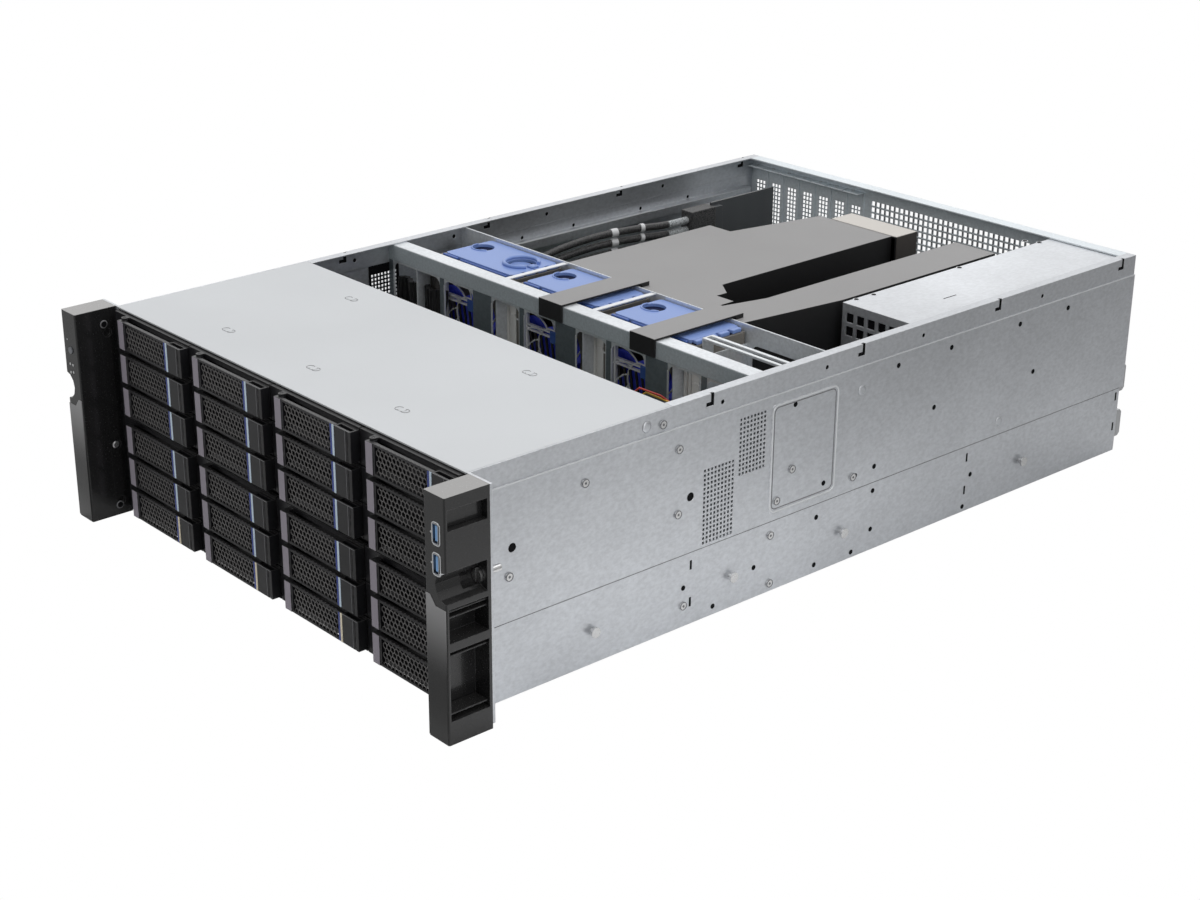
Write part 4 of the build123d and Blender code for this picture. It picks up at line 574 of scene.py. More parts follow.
def on_places(tree, name, places, values, material, slot):
    """One piece on the chassis with the shape of a tree on each of a list of places."""
    seed = bpy.data.meshes.new("places")
    seed.from_pydata([tuple(place) for place in places], [], [])
    mesh = bmesh.new()
    take_in(mesh, baked(tree, dict(values, Material=material), seed))
    return piece(name, mesh, material, CHASSIS, slot)


# %% [markdown]
# Each drive carrier's lever is a frame with a honeycomb in its window. The mauve strip at the hinge
# end, the deep-blue zone and the bright line beside the release block are thin pieces on top of it.
# The light pipe and the ridges of the release block stay on the carrier when the lever swings.

# %% Drive carrier fronts
CELL_WIDTH, CELL_HEIGHT, MID_GAP, PAN_FLOOR = 107.7, 27.5, 4.0, 3.7
COLUMNS, ROWS = 4, 6
LEVER_LOW, LEVER_TALL = 2.3, 22.9
LEVER_FACE, BEZEL_FACE = -11.0, -3.5
WINDOW_X = (26.6, 83.4)
HONEYCOMB = {"Columns": 12, "Rows": 6, "Pitch X": 4.35, "Pitch Y": 3.75, "Shift": 0.5, "Sides": 6,
             "Ring Radius": 2.29, "Turn": math.radians(90), "Wall": 0.44, "Thickness": 0.8,
             "Material": GRID_BLACK}
# Name, span along X, start and end behind the lever's face, inset at foot and top, finish, bevel.
LEVER_TRIMS = [("strip", (17.2, 24.8), (-0.6, -0.3), 0.2, STRIP, 0.12),
               ("zone", (83.6, 86.0), (-0.12, 0.2), 0.3, DEEP_BLUE, 0.08),
               ("line", (86.1, 88.3), (-0.25, 0.3), 0.1, LINE_BLUE, 0.08)]
PIPE_X, PIPE_INSET = (15.6, 16.3), 0.5
RIDGE_X, RIDGE_TOP_X, RIDGE_INSET, RIDGE_TOP = (101.0, 101.45), (88.9, 106.9), 0.4, (-0.45, 0.02)


def cell_corner(column, row):
    """Lower left corner of a cell, row 0 at the bottom."""
    lift = MID_GAP if row >= ROWS / 2 else 0
    return -COLUMNS * CELL_WIDTH / 2 + column * CELL_WIDTH, PAN_FLOOR + row * CELL_HEIGHT + lift


def front_pieces(column, row):
    left, low = cell_corner(column, row)
    bottom, top = low + LEVER_LOW, low + LEVER_LOW + LEVER_TALL
    number = f"row{ROWS - row}_col{column + 1}"
    carrier = (f"carrier_{ROWS - row}_{column + 1}", "carrier_body")
    lever = (f"lever_1_{column + 1}", "lever_plastic") if row == ROWS - 1 else carrier
    cream = row == 0 and column < COLUMNS - 1

    def box(x_span, face, depth, z0, z1):
        return (left + x_span[0], face + depth[0], z0), (left + x_span[1], face + depth[1], z1)

    middle = (left + sum(WINDOW_X) / 2 - HONEYCOMB["Pitch X"] / 4, LEVER_FACE + 0.9, (bottom + top) / 2)
    mesh = bmesh.new()
    add_sheet(mesh, HONEYCOMB, Matrix.Translation(middle) @ STAND_UP)
    piece("honeycomb_" + number, mesh, GRID_BLACK, *lever)
    for name, x_span, depth, inset, material, bevel in LEVER_TRIMS:
        colour = LINE_CREAM if name == "line" and cream else material
        block_piece(f"{name}_{number}", [box(x_span, LEVER_FACE, depth, bottom + inset, top - inset)],
                    colour, *lever, bevel=bevel)
    pipe = box(PIPE_X, BEZEL_FACE, (-0.3, 0.2), bottom + PIPE_INSET, top - PIPE_INSET)
    block_piece("light_pipe_" + number, [pipe], TIE, *carrier, bevel=0.08)
    ridges = [box(RIDGE_X, LEVER_FACE, (-0.35, 0.1), bottom + RIDGE_INSET, top - RIDGE_INSET),
              box(RIDGE_TOP_X, LEVER_FACE, (-0.3, 0.1), top + RIDGE_TOP[0], top + RIDGE_TOP[1])]
    block_piece("block_ridge_" + number, ridges, PIPE_GREY, *carrier, bevel=0.06)


for column in range(COLUMNS):
    for row in range(ROWS):
        front_pieces(column, row)
print("carrier fronts:", COLUMNS * ROWS)

# %% [markdown]
# Bars in a row fill many slots of this server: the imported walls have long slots, as a stamped blank
# would after its first pass, and the crossing bars turn them into the square holes of the real vents.
# A second tree sets any number of bars along a step, with the size of one bar as its input.

# %% Geometry Nodes: bars in a row
def bar_row_tree():
    tree, get, give = new_group("bar_row", "GeometryNodeTree", {
        "Count": 8, "First": (0.0, 0.0, 0.0), "Step": (1.0, 0.0, 0.0), "Bar": (1.0, 1.0, 1.0),
        "Material": "NodeSocketMaterial"}, ONE_SHAPE)
    line = add(tree, "GeometryNodeMeshLine", None,
               {"Count": get["Count"], "Start Location": get["First"], "Offset": get["Step"]})
    bar = add(tree, "GeometryNodeMeshCube", None, {"Size": get["Bar"]})
    return end_with_copies(tree, get, give, line.outputs["Mesh"], bar.outputs["Mesh"])


BAR_ROW = bar_row_tree()


def add_bars(mesh, count, first, step, bar):
    """Adds a row of zinc bars to a mesh in millimetres."""
    values = {"Count": count, "First": first, "Step": step, "Bar": bar, "Material": ZINC}
    take_in(mesh, baked(BAR_ROW, values))


# %% [markdown]
# The two vents of each side wall are fields of square holes. It is dark behind them, so a black
# screen with the same holes stands a little inside the wall, with a frame that shuts out side light.

# %% Vents of the side walls
WALL_OUT, SHEET, AIR = 220.0, 1.2, 0.02
VENT_PITCH, VENT_BAR = 3.45, 1.3
VENTS = [(208.6, 61.4, 9, 17), (243.0, 104.6, 8, 13)]
SCREEN_HOLES = {"Pitch X": VENT_PITCH, "Pitch Y": VENT_PITCH, "Shift": 0.0, "Sides": 4, "Ring Radius": 1.98,
                "Turn": math.radians(45), "Wall": 0.65, "Thickness": 0.3, "Material": DARK}
SCREEN_X, SCREEN_HALF = WALL_OUT - SHEET - 0.4, 0.15
FRAME_WIDE, FRAME_TOP = 2.0, 8.0
vent_mesh, screen_mesh = bmesh.new(), bmesh.new()
for first_y, low_z, holes, rows in VENTS:
    tall = rows * VENT_PITCH - VENT_BAR
    y0, z0 = first_y - VENT_BAR / 2, low_z - VENT_BAR / 2
    y1, z1 = y0 + holes * VENT_PITCH, z0 + rows * VENT_PITCH
    values = dict(SCREEN_HOLES, Columns=holes, Rows=rows)
    for side in (-1, 1):
        first = (side * (WALL_OUT - SHEET / 2), first_y + VENT_PITCH - VENT_BAR / 2, low_z + tall / 2)
        add_bars(vent_mesh, holes - 1, first, (0, VENT_PITCH, 0), (SHEET - AIR, VENT_BAR, tall))
        middle = Matrix.Translation((side * SCREEN_X, (y0 + y1) / 2, (z0 + z1) / 2))
        add_sheet(screen_mesh, values, middle @ Matrix.Rotation(math.radians(90), 4, "Z") @ STAND_UP)
    x_span = (SCREEN_X - SCREEN_HALF, SCREEN_X + SCREEN_HALF)
    add_pair(screen_mesh, x_span, (y0 - FRAME_WIDE, z0), (y0, z1))
    add_pair(screen_mesh, x_span, (y1, z0), (y1 + FRAME_WIDE, z1))
    add_pair(screen_mesh, x_span, (y0 - FRAME_WIDE, z1), (y1 + FRAME_WIDE, z1 + FRAME_TOP))
vents = piece("vent_bars", vent_mesh, ZINC, *ON_SHEET)
piece("vent_screens", screen_mesh, DARK, *ON_SHEET)
print("vent bars:", len(vents.data.polygons) // 6)

# %% [markdown]
# The rear wall has a grille over the main board's end, and its slots are crossed by bars as well.

# %% Bars of the rear grille
GRILLE_X, GRILLE_Z, REAR_Y = (-66.0, 136.0), (92.0, 160.0), (701.8, 703.0)
GRILLE_BAR, GRILLE_COLUMNS, HOLES_PER_SLOT = 1.6, 6, 6
slot_step = (GRILLE_X[1] - GRILLE_X[0] + GRILLE_BAR) / GRILLE_COLUMNS
hole_step = slot_step / HOLES_PER_SLOT
grille_mesh = bmesh.new()
for column in range(GRILLE_COLUMNS):
    first_x = GRILLE_X[0] + column * slot_step + hole_step - GRILLE_BAR / 2
    add_bars(grille_mesh, HOLES_PER_SLOT - 1, (first_x, sum(REAR_Y) / 2, sum(GRILLE_Z) / 2),
             (hole_step, 0, 0), (GRILLE_BAR, SHEET - AIR, GRILLE_Z[1] - GRILLE_Z[0]))
grille = piece("grille_bars", grille_mesh, ZINC, *ON_SHEET)
print("grille bars:", len(grille.data.polygons) // 6)

# %% [markdown]
# The covers of the expansion slots are perforated too, so the plain packed plates are replaced. Each
# cover is three columns of square holes between two solid edges, with a bent tab under its screw.

# %% Perforated slot covers
SLOT_FIRST_X, SLOT_STEP, SLOT_COUNT = -206.0, 20.32, 7
COVER_WIDE, COVER_LOW, COVER_HIGH, COVER_THICK, COVER_TAB = 18.4, 65.0, 166.0, 0.9, 9.0
SQUARES = {"Columns": 3, "Rows": 21, "Pitch X": 4.0, "Pitch Y": 4.0, "Shift": 0.0, "Sides": 4,
           "Ring Radius": 2.4, "Turn": math.radians(45), "Wall": 0.6, "Thickness": 0.9,
           "Material": REAR_ZINC_PAINTED_LIGHT}
HOLES_LOW = COVER_LOW + 3.0
HOLES_HIGH = HOLES_LOW + SQUARES["Rows"] * SQUARES["Pitch Y"]
COVER_BACK, COVER_FRONT = REAR_Y[0], REAR_Y[0] - COVER_THICK
outer, inner = COVER_WIDE / 2, SQUARES["Columns"] * SQUARES["Pitch X"] / 2
cover_blocks, hole_mesh = [], bmesh.new()
for k in range(SLOT_COUNT):
    x = SLOT_FIRST_X + k * SLOT_STEP
    for x0, x1, z0, z1 in ((-outer, -inner, COVER_LOW, COVER_HIGH), (inner, outer, COVER_LOW, COVER_HIGH),
                           (-inner, inner, COVER_LOW, HOLES_LOW), (-inner, inner, HOLES_HIGH, COVER_HIGH)):
        cover_blocks.append(((x + x0, COVER_FRONT, z0), (x + x1, COVER_BACK, z1)))
    cover_blocks.append(((x - outer, COVER_FRONT - COVER_TAB, COVER_HIGH - COVER_THICK),
                         (x + outer, COVER_FRONT, COVER_HIGH)))
    middle = (x, (COVER_BACK + COVER_FRONT) / 2, (HOLES_LOW + HOLES_HIGH) / 2)
    add_sheet(hole_mesh, SQUARES, Matrix.Translation(middle) @ STAND_UP)
edges_of_covers = block_piece("slot_cover_edges", cover_blocks, REAR_ZINC_PAINTED_LIGHT, *ON_SHEET)
holes_of_covers = piece("slot_cover_holes", hole_mesh, REAR_ZINC_PAINTED_LIGHT, *ON_SHEET)
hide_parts("slot_covers")
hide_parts("slot_covers")
print("slot covers:", SLOT_COUNT)

# %% [markdown]
# Screws are everywhere on sheet metal. One tree puts a tapered head with a cross recess on each point
# it is given and turns it along a direction, so a list of places is all that a row of screws needs.

# %% Geometry Nodes: screw heads
CROWN, BLADE_LONG, BLADE_SHORT = 0.72, 1.15, 0.26


def screw_tree():
    tree, get, give = new_group("screw_heads", "GeometryNodeTree", {
        "Places": "NodeSocketGeometry", "Radius": 2.5, "Height": 0.9, "Direction": (0.0, 0.0, 1.0),
        "Material": "NodeSocketMaterial"}, ONE_SHAPE)
    head = add(tree, "GeometryNodeMeshCone", None,
               {"Vertices": 20, "Radius Top": calc(tree, "MULTIPLY", get["Radius"], CROWN),
                "Radius Bottom": get["Radius"], "Depth": get["Height"]})
    long_way = calc(tree, "MULTIPLY", get["Radius"], BLADE_LONG)
    short_way = calc(tree, "MULTIPLY", get["Radius"], BLADE_SHORT)
    both = add(tree, "GeometryNodeJoinGeometry")
    for x, y in ((long_way, short_way), (short_way, long_way)):
        size = add(tree, "ShaderNodeCombineXYZ", None, {"X": x, "Y": y, "Z": get["Height"]})
        blade = add(tree, "GeometryNodeMeshCube", None, {"Size": size.outputs[0]})
        tree.links.new(blade.outputs["Mesh"], both.inputs[0])
    lift = add(tree, "ShaderNodeCombineXYZ", None, {"Z": get["Height"]})
    raised = add(tree, "GeometryNodeTransform", None,
                 {"Geometry": both.outputs[0], "Translation": lift.outputs[0]})
    cut = add(tree, "GeometryNodeMeshBoolean", {"operation": "DIFFERENCE"},
              {0: head.outputs["Mesh"], 1: raised.outputs[0]})
    turn = add(tree, "FunctionNodeAlignRotationToVector", {"axis": "Z"}, {"Vector": get["Direction"]})
    return end_with_copies(tree, get, give, get["Places"], cut.outputs[0], turn.outputs[0])


SCREWS = screw_tree()


def screw_row(name, places, direction, radius, height):
    """Screw heads at a list of places in millimetres, all facing one way, as one piece."""
    values = {"Radius": radius, "Height": height, "Direction": direction}
    return on_places(SCREWS, name, places, values, STEEL, "fastener_steel")


slot_screws = [(SLOT_FIRST_X + k * SLOT_STEP, REAR_Y[0] - 5.5, COVER_HIGH + 0.5) for k in range(SLOT_COUNT)]
screw_row("slot_screws", slot_screws, (0, 0, 1), 3.2, 1.2)
print("screws on the slot covers:", len(slot_screws))

# %% [markdown]
# The upper fan rotors are open to view, so they get real curved blades. A blade is a small grid
# over radius and chord whose pitch flattens towards the tip, given a thickness afterwards. Each rotor
# rides on its own body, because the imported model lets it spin.

# %% Fan rotors
ROTOR_Y, ROTOR_DEPTH, ROTOR_FORWARD = 297.267, 20.0, 6.0
FAN_X, FAN_UPPER_Z, FAN_LOWER_Z = (-131.0, -25.5, 80.0), 127.0, 47.0
FAN_BODIES = ("fan_unit_1", CHASSIS, CHASSIS)
HUB_R, TIP_R, BLADES, BLADE_THICK, BLADE_GRID = 16.0, 36.0, 7, 1.2, 7
ROOT_PITCH, PITCH_FALL, ROOT_REACH, REACH_GAIN, CAMBER, SWEEP = 50, 22, 23.0, 12.0, 1.6, 0.35


def blade_point(radius, chord, turn):
    """A point of a blade, for a radius, a chord position from -0.5 to 0.5 and the blade's own turn."""
    outward = (radius - HUB_R) / (TIP_R - HUB_R)
    pitch = math.radians(ROOT_PITCH - PITCH_FALL * outward)
    reach = ROOT_REACH + REACH_GAIN * outward
    camber = CAMBER * (0.25 - chord * chord) * 4
    swing = chord * reach * math.cos(pitch) / radius + SWEEP * outward * outward
    depth = chord * reach * math.sin(pitch) - camber
    angle = turn + swing
    return (radius * math.cos(angle), depth, radius * math.sin(angle))


def rotor_piece(number, x):
    mesh = bmesh.new()
    root = HUB_R - 0.5
    radii = [root + (TIP_R - root) * i / (BLADE_GRID - 1) for i in range(BLADE_GRID)]
    chords = [j / (BLADE_GRID - 1) - 0.5 for j in range(BLADE_GRID)]
    for k in range(BLADES):
        turn = 2 * math.pi * k / BLADES
        rows = [[mesh.verts.new(blade_point(radius, chord, turn)) for chord in chords] for radius in radii]
        for i in range(BLADE_GRID - 1):
            for j in range(BLADE_GRID - 1):
                mesh.faces.new((rows[i][j], rows[i][j + 1], rows[i + 1][j + 1], rows[i + 1][j]))
    mesh.normal_update()
    bmesh.ops.solidify(mesh, geom=mesh.faces[:], thickness=BLADE_THICK)
    add_rod(mesh, (0, 0, 0), (0, 1, 0), ROTOR_DEPTH - 2, HUB_R, sides=48)
    add_rod(mesh, (0, -ROTOR_DEPTH / 2 + 0.5, 0), (0, -1, 0), 1.0, HUB_R, sides=48, tip=HUB_R - 1.5)
    bmesh.ops.translate(mesh, verts=mesh.verts[:], vec=(x, ROTOR_Y - ROTOR_FORWARD, FAN_UPPER_Z))
    rotor = piece(f"rotor_blades_{number}", mesh, ROTOR_BLUE, f"rotor_{number}", "rotor_plastic")
    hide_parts(f"fan_rotor_{number}")


for number, x in enumerate(FAN_X, 1):
    rotor_piece(number, x)
print("rotors:", len(FAN_X), "with", BLADES, "blades each")

# %% [markdown]
# Rings, wires and cables are all round rods along a path. A curve with a round profile gives them in
# one step. Its points are the corners of the path, or control points that it flows past.

# %% Outlines and tubes
def oval(x, y, half_x, half_y, count=28):
    """Points round an ellipse, counter-clockwise from its right end."""
    angles = [2 * math.pi * k / count for k in range(count)]
    return [(x + half_x * math.cos(angle), y + half_y * math.sin(angle)) for angle in angles]


def rounded(x0, y0, x1, y1, corner, steps=5):
    """Points round a rectangle with rounded corners."""
    points = []
    for cx, cy, turn in ((x1 - corner, y1 - corner, 0), (x0 + corner, y1 - corner, 1),
                         (x0 + corner, y0 + corner, 2), (x1 - corner, y0 + corner, 3)):
        for k in range(steps):
            angle = math.pi / 2 * (turn + k / (steps - 1))
            points.append((cx + corner * math.cos(angle), cy + corner * math.sin(angle)))
    return points


def across_x(points):
    """Flat points stood up in a plane that looks along X."""
    return [(0, y, z) for y, z in points]


def across_y(points):
    """Flat points stood up in a plane that looks along Y."""
    return [(x, 0, z) for x, z in points]


def tube_curve(name, kind, points, radius, roundness, closed=False):
    """A curve object with a round profile."""
    curve = bpy.data.curves.new(name, "CURVE")
    curve.dimensions = "3D"
    curve.bevel_depth = radius
    curve.bevel_resolution = roundness
    curve.use_fill_caps = not closed
    spline = curve.splines.new(kind)
    spline.points.add(len(points) - 1)
    for point, place in zip(spline.points, points):
        point.co = (*place, 1.0)
    spline.use_cyclic_u = closed
    made = bpy.data.objects.new(name, curve)
    bpy.context.scene.collection.objects.link(made)
    return made


def add_tube(mesh, points, radius, place=(0, 0, 0), closed=False, sides=6):
    """Adds a tube through points, in millimetres, moved to a place."""
    holder = tube_curve("path", "POLY", points, radius, sides // 2 - 1, closed)
    bpy.context.view_layer.update()
    made = bpy.data.meshes.new_from_object(holder.evaluated_get(bpy.context.evaluated_depsgraph_get()))
    curve = holder.data
    bpy.data.objects.remove(holder)
    bpy.data.curves.remove(curve)
    made.transform(Matrix.Translation(place))
    take_in(mesh, made)


# %% [markdown]
# Finger guards in front of the fans are moulded with the frame: rings and a few curved spokes. A
# spoke bends because its angle grows with the radius, so a blade never passes all of it at once.

# %% Fan guards
GUARD_Y, GUARD_WIRE = 278.2, 0.7
SPOKE_RADII, SPOKE_CURL = (14, 20, 26, 32, 38.5), 0.030
GUARDS = ((FAN_UPPER_Z, (15.0,), 11), (FAN_LOWER_Z, (15.0, 24.0, 33.0), 4))
for number, x in enumerate(FAN_X, 1):
    mesh = bmesh.new()
    for z, radii, spokes in GUARDS:
        for radius in radii:
            ring = across_y(oval(0, 0, radius, radius, 48))
            add_tube(mesh, ring, GUARD_WIRE, (x, GUARD_Y, z), closed=True)
        for k in range(spokes):
            angle = math.pi / 4 + k * 2 * math.pi / spokes
            reach = [(r * math.cos(angle + SPOKE_CURL * r), 0, r * math.sin(angle + SPOKE_CURL * r))
                     for r in SPOKE_RADII]
            add_tube(mesh, reach, GUARD_WIRE, (x, GUARD_Y, z))
    piece(f"fan_guard_{number}", mesh, GUARD_PALE, FAN_BODIES[number - 1], "fan_plastic", smooth=True)
print("fan guards:", len(FAN_X))

# %% [markdown]
# The harness runs from the backplane through the fan wall to the riser. Its route is the same list of
# points as in the part's own source. A spline uses them as control points, so it flows round the corners.

# %% Cables of the harness
ROUTE = [(-186, 183, 66), (-186, 218, 66), (-193, 262, 70), (-197, 305, 86), (-196, 345, 112),
         (-187, 398, 138), (-177, 450, 149), (-166, 500, 151), (-160, 530, 149), (-160, 557, 149)]
CABLE_R, CABLE_STEP, CABLE_COUNT = 3.2, 9.0, 3
for number in range(CABLE_COUNT):
    points = [spot(x, y, z - number * CABLE_STEP) for x, y, z in ROUTE]
    made = tube_curve(f"cable_{number}", "NURBS", points, CABLE_R * MM, 4)
    spline = made.data.splines[0]
    spline.order_u = 3
    spline.use_endpoint_u = True
    spline.resolution_u = 12
    made.data.materials.append(SLEEVE)
    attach(made, CHASSIS)
    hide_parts("cables")
print("cables:", CABLE_COUNT)

# %% [markdown]
# Seen through the windows of the fan wall, each fan has a pale moulded frame in front of its blades:
# two level ribs, an upright on each side and a few vanes below, dark with painted shade. They are short
# bars, and one piece for each finish keeps the object list readable. Fans 2 and 3 have small side bars
# towards the column at their left. Fan 1 stands beside the open bay and has a dark screen of painted shade
# there instead.

# %% Fan front frames
FRAME_Y, FRAME_Z = (276.9, 280.0), (12.0, 164.0)
UPRIGHTS = ((-34.0, -32.1), (-29.8, -27.9), (38.0, 40.0))
RIB_LOW, RIB_TALL, SIDE_BAR_LOW, SIDE_BAR_TALL = (135.0, 139.0), 1.3, (140.0, 100.0, 60.0), 1.6
CATCH = [((0.5, FRAME_Y[0] - 0.6, 131.5), (9.0, FRAME_Y[1], 141.5))]
COLUMN_BLOCKS = [((50.0, 275.8, 12.0), (65.0, 276.4, 160.0)), ((58.0, 275.0, 143.2), (65.0, 276.0, 144.8))]
COLUMN_RODS, COLUMN_MID, COLUMN_LONG = ((52.4, 274.4, 1.5), (56.4, 274.8, 1.1)), 86.0, 148.0
VANES, VANE_STEP, VANE_BOW, VANE_TOP, VANE_Y, VANE_R = 5, 6.5, 3.0, 134.0, 278.6, 1.1
BAY_SHADE_SCREEN = ((-48.8, FRAME_Y[0] - 0.4, 12.0), (-35.5, FRAME_Y[0] + 0.4, 160.0))


def fan_front(number, x):
    body = FAN_BODIES[number - 1]
    face, back = FRAME_Y
    ribs = [((x - 29.5, face, z), (x + 9.0, back, z + RIB_TALL)) for z in RIB_LOW]
    ribs += [((x + x0, face, FRAME_Z[0]), (x + x1, back, FRAME_Z[1])) for x0, x1 in UPRIGHTS]
    if number > 1:
        ribs += [((x - 48.5, face - 0.6, z), (x - 38.5, face + 0.5, z + SIDE_BAR_TALL))
                 for z in SIDE_BAR_LOW]
    block_piece(f"fan_ribs_{number}", ribs, GUARD_PALE, body, "fan_plastic", bevel=0.3)
    piece(f"fan_catch_{number}", block_mesh(CATCH, x), LATCH_BLUE, body, "fan_plastic", bevel=0.6)
    mesh = block_mesh(COLUMN_BLOCKS, x)
    for rod_x, rod_y, radius in COLUMN_RODS:
        add_rod(mesh, (x + rod_x, rod_y, COLUMN_MID), (0, 0, 1), COLUMN_LONG, radius, sides=16)
    piece(f"fan_column_{number}", mesh, COLUMN, CHASSIS, "fan_plastic", bevel=0.3)
    # Painted shade: the dark screen beside fan 1 and the dark vanes.
    mesh = block_mesh([BAY_SHADE_SCREEN] if number == 1 else [], x)
    for k in range(VANES):
        start = x - 26.0 + VANE_STEP * k
        bow = [(start + VANE_BOW * math.sin(t * math.pi / 8), VANE_Y, VANE_TOP - 5.0 * t) for t in range(9)]
        add_tube(mesh, bow, VANE_R)
    piece(f"fan_vanes_{number}", mesh, FAN_PAINTED_SHADE, body, "fan_plastic", smooth=True)


for number, x in enumerate(FAN_X, 1):
    fan_front(number, x)
print("fan frames:", len(FAN_X))

# %% [markdown]
# The bent front rail of the fan cage catches the light above the windows, and the cut edges of the
# windows shine. A thin skin paints that light into the rail's own tone, narrow pale bars along the windows'
# sides are painted highlights, and a slate grey skin paints shade on the wall between the windows. A painted
# highlight marks the ledge of the left wall, and pale strips bridge the gaps between the caps.

# %% Rail face, painted window edge highlights and painted shade skins
FAN_WALL_Y, FIRST_WINDOW_X, WINDOW_STEP, WINDOWS = 262.0, -142.0, 103.0, 3
WINDOW_LINES = (0.0, 62.0, 97.0)
WALL_SHADE_SPANS = [(-218.4, -212.7), (-147.9, -142.1), (-103.9, -80.1), (-44.9, -39.1), (-0.9, 22.9),
               (58.1, 63.9), (102.1, 125.9), (161.1, 166.9), (212.1, 216.4)]
# Painted light on the face of the rail.
block_piece("rail_face", [((-218.6, FAN_WALL_Y - 0.25, 159.5), (216.6, FAN_WALL_Y + 0.1, 172.3))],
            RAIL_PAINTED_LIGHT, *ON_SHEET, bevel=0.1)
# Painted highlights along the cut edges of the windows.
highlight_x = [FIRST_WINDOW_X + k * WINDOW_STEP + line for k in range(WINDOWS) for line in WINDOW_LINES]
block_piece("window_edge_highlights", [((x - 0.7, FAN_WALL_Y - 0.2, 14.0), (x + 0.1, FAN_WALL_Y + 1.3, 154.0))
                             for x in highlight_x], PALE_RIM_AND_HIGHLIGHT, *ON_SHEET, bevel=0.1)
# Painted shade on the fan wall between the windows.
block_piece("window_wall_shade_skins", [((x0, FAN_WALL_Y - 0.15, 12.0), (x1, FAN_WALL_Y + 0.1, 159.3))
                                  for x0, x1 in WALL_SHADE_SPANS], WALL_PAINTED_SHADE, *ON_SHEET)
# Painted highlight along the ledge of the left wall.
block_piece("ledge_highlight", [((-212.5, 346.0, 146.0), (-209.6, 560.0, 146.5))], PALE_RIM_AND_HIGHLIGHT, *ON_SHEET)
block_piece("cap_strips", [((x + 50.3, FAN_WALL_Y + 1.2, 171.2), (x + 55.2, 340.6, 172.2))
                           for x in FAN_X[:2]], PALE_RIM_AND_HIGHLIGHT, *ON_SHEET, bevel=0.15)
print("window edges:", len(highlight_x))

# %% [markdown]
# The blue caps are plates with a round finger hole, and the first one has an open ring as well. A
# plate with holes is an outer loop and inner loops filled with triangles between them and then made
# thick, which keeps the holes real.

# %% Plates with holes
def add_plate(mesh, outline, holes, low, high):
    """A flat plate between two heights, with holes given as loops of points."""
    part = bmesh.new()
    edges = []
    for loop in [outline] + holes:
        verts = [part.verts.new((x, y, 0.0)) for x, y in loop]
        edges += [part.edges.new((verts[k], verts[(k + 1) % len(verts)])) for k in range(len(verts))]
    bmesh.ops.triangle_fill(part, use_beauty=True, use_dissolve=False, edges=edges)
    bmesh.ops.recalc_face_normals(part, faces=part.faces[:])
    bmesh.ops.solidify(part, geom=part.faces[:], thickness=high - low)
    foot = min(vert.co.z for vert in part.verts)
    bmesh.ops.translate(part, verts=part.verts[:], vec=(0, 0, low - foot))
    bmesh.ops.recalc_face_normals(part, faces=part.faces[:])
    data = bpy.data.meshes.new("plate")
    part.to_mesh(data)
    part.free()
    take_in(mesh, data)


# %% [markdown]
# Each cap is a plate on a dark well of painted shade, with a raised lip along the front of its finger hole,
# a row of tabs at its right and a latch in front. All of it rides with the fan and takes the imported cap's
# place.

# %% Blue caps
CAP_FRONT, CAP_REAR, CAP_LOW, CAP_TOP, CAP_HALF = 288.6, 338.6, 167.0, 170.0, 43.0
FINGER_AT, FINGER_HALF = (-31.6, 320.5), (9.8, 9.0)
RING_AT, RING_OUT, RING_WIDE = (24.0, 316.0), 14.4, 2.2
INNER_AT, INNER_HALF = (5.8, -5.0), (4.2, 3.2)
RING_INNER_AT, RING_INNER_HALF = (2.0, -2.4), (10.0, 9.2)
WELLS = [((-42.0, CAP_FRONT + 1.0, CAP_LOW + 0.1), (42.0, CAP_REAR - 1.0, CAP_LOW + 0.5)),
         ((42.6, CAP_FRONT + 0.6, CAP_LOW + 0.2), (47.2, CAP_REAR - 1.4, CAP_LOW + 1.0))]
TABS = [((43.6, y, CAP_LOW), (47.8, y + 9.6, CAP_LOW + 3.4)) for y in (289.6, 302.0, 314.4, 326.8)]
LATCHES = [((-43.0, CAP_FRONT - 3.2, CAP_LOW), (-24.0, CAP_FRONT - 0.4, CAP_LOW + 2.6)),
           ((-21.0, CAP_FRONT - 2.4, CAP_LOW), (40.0, CAP_FRONT - 0.4, CAP_LOW + 2.0))]


def cap_piece(name, number, mesh, material, bevel=0.0, smooth=False):
    """One piece of a cap, on the body of its fan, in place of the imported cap."""
    made = piece(f"{name}_{number}", mesh, material, FAN_BODIES[number - 1], "cap_plastic", bevel, smooth)
    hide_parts(f"fan_cap_{number}")


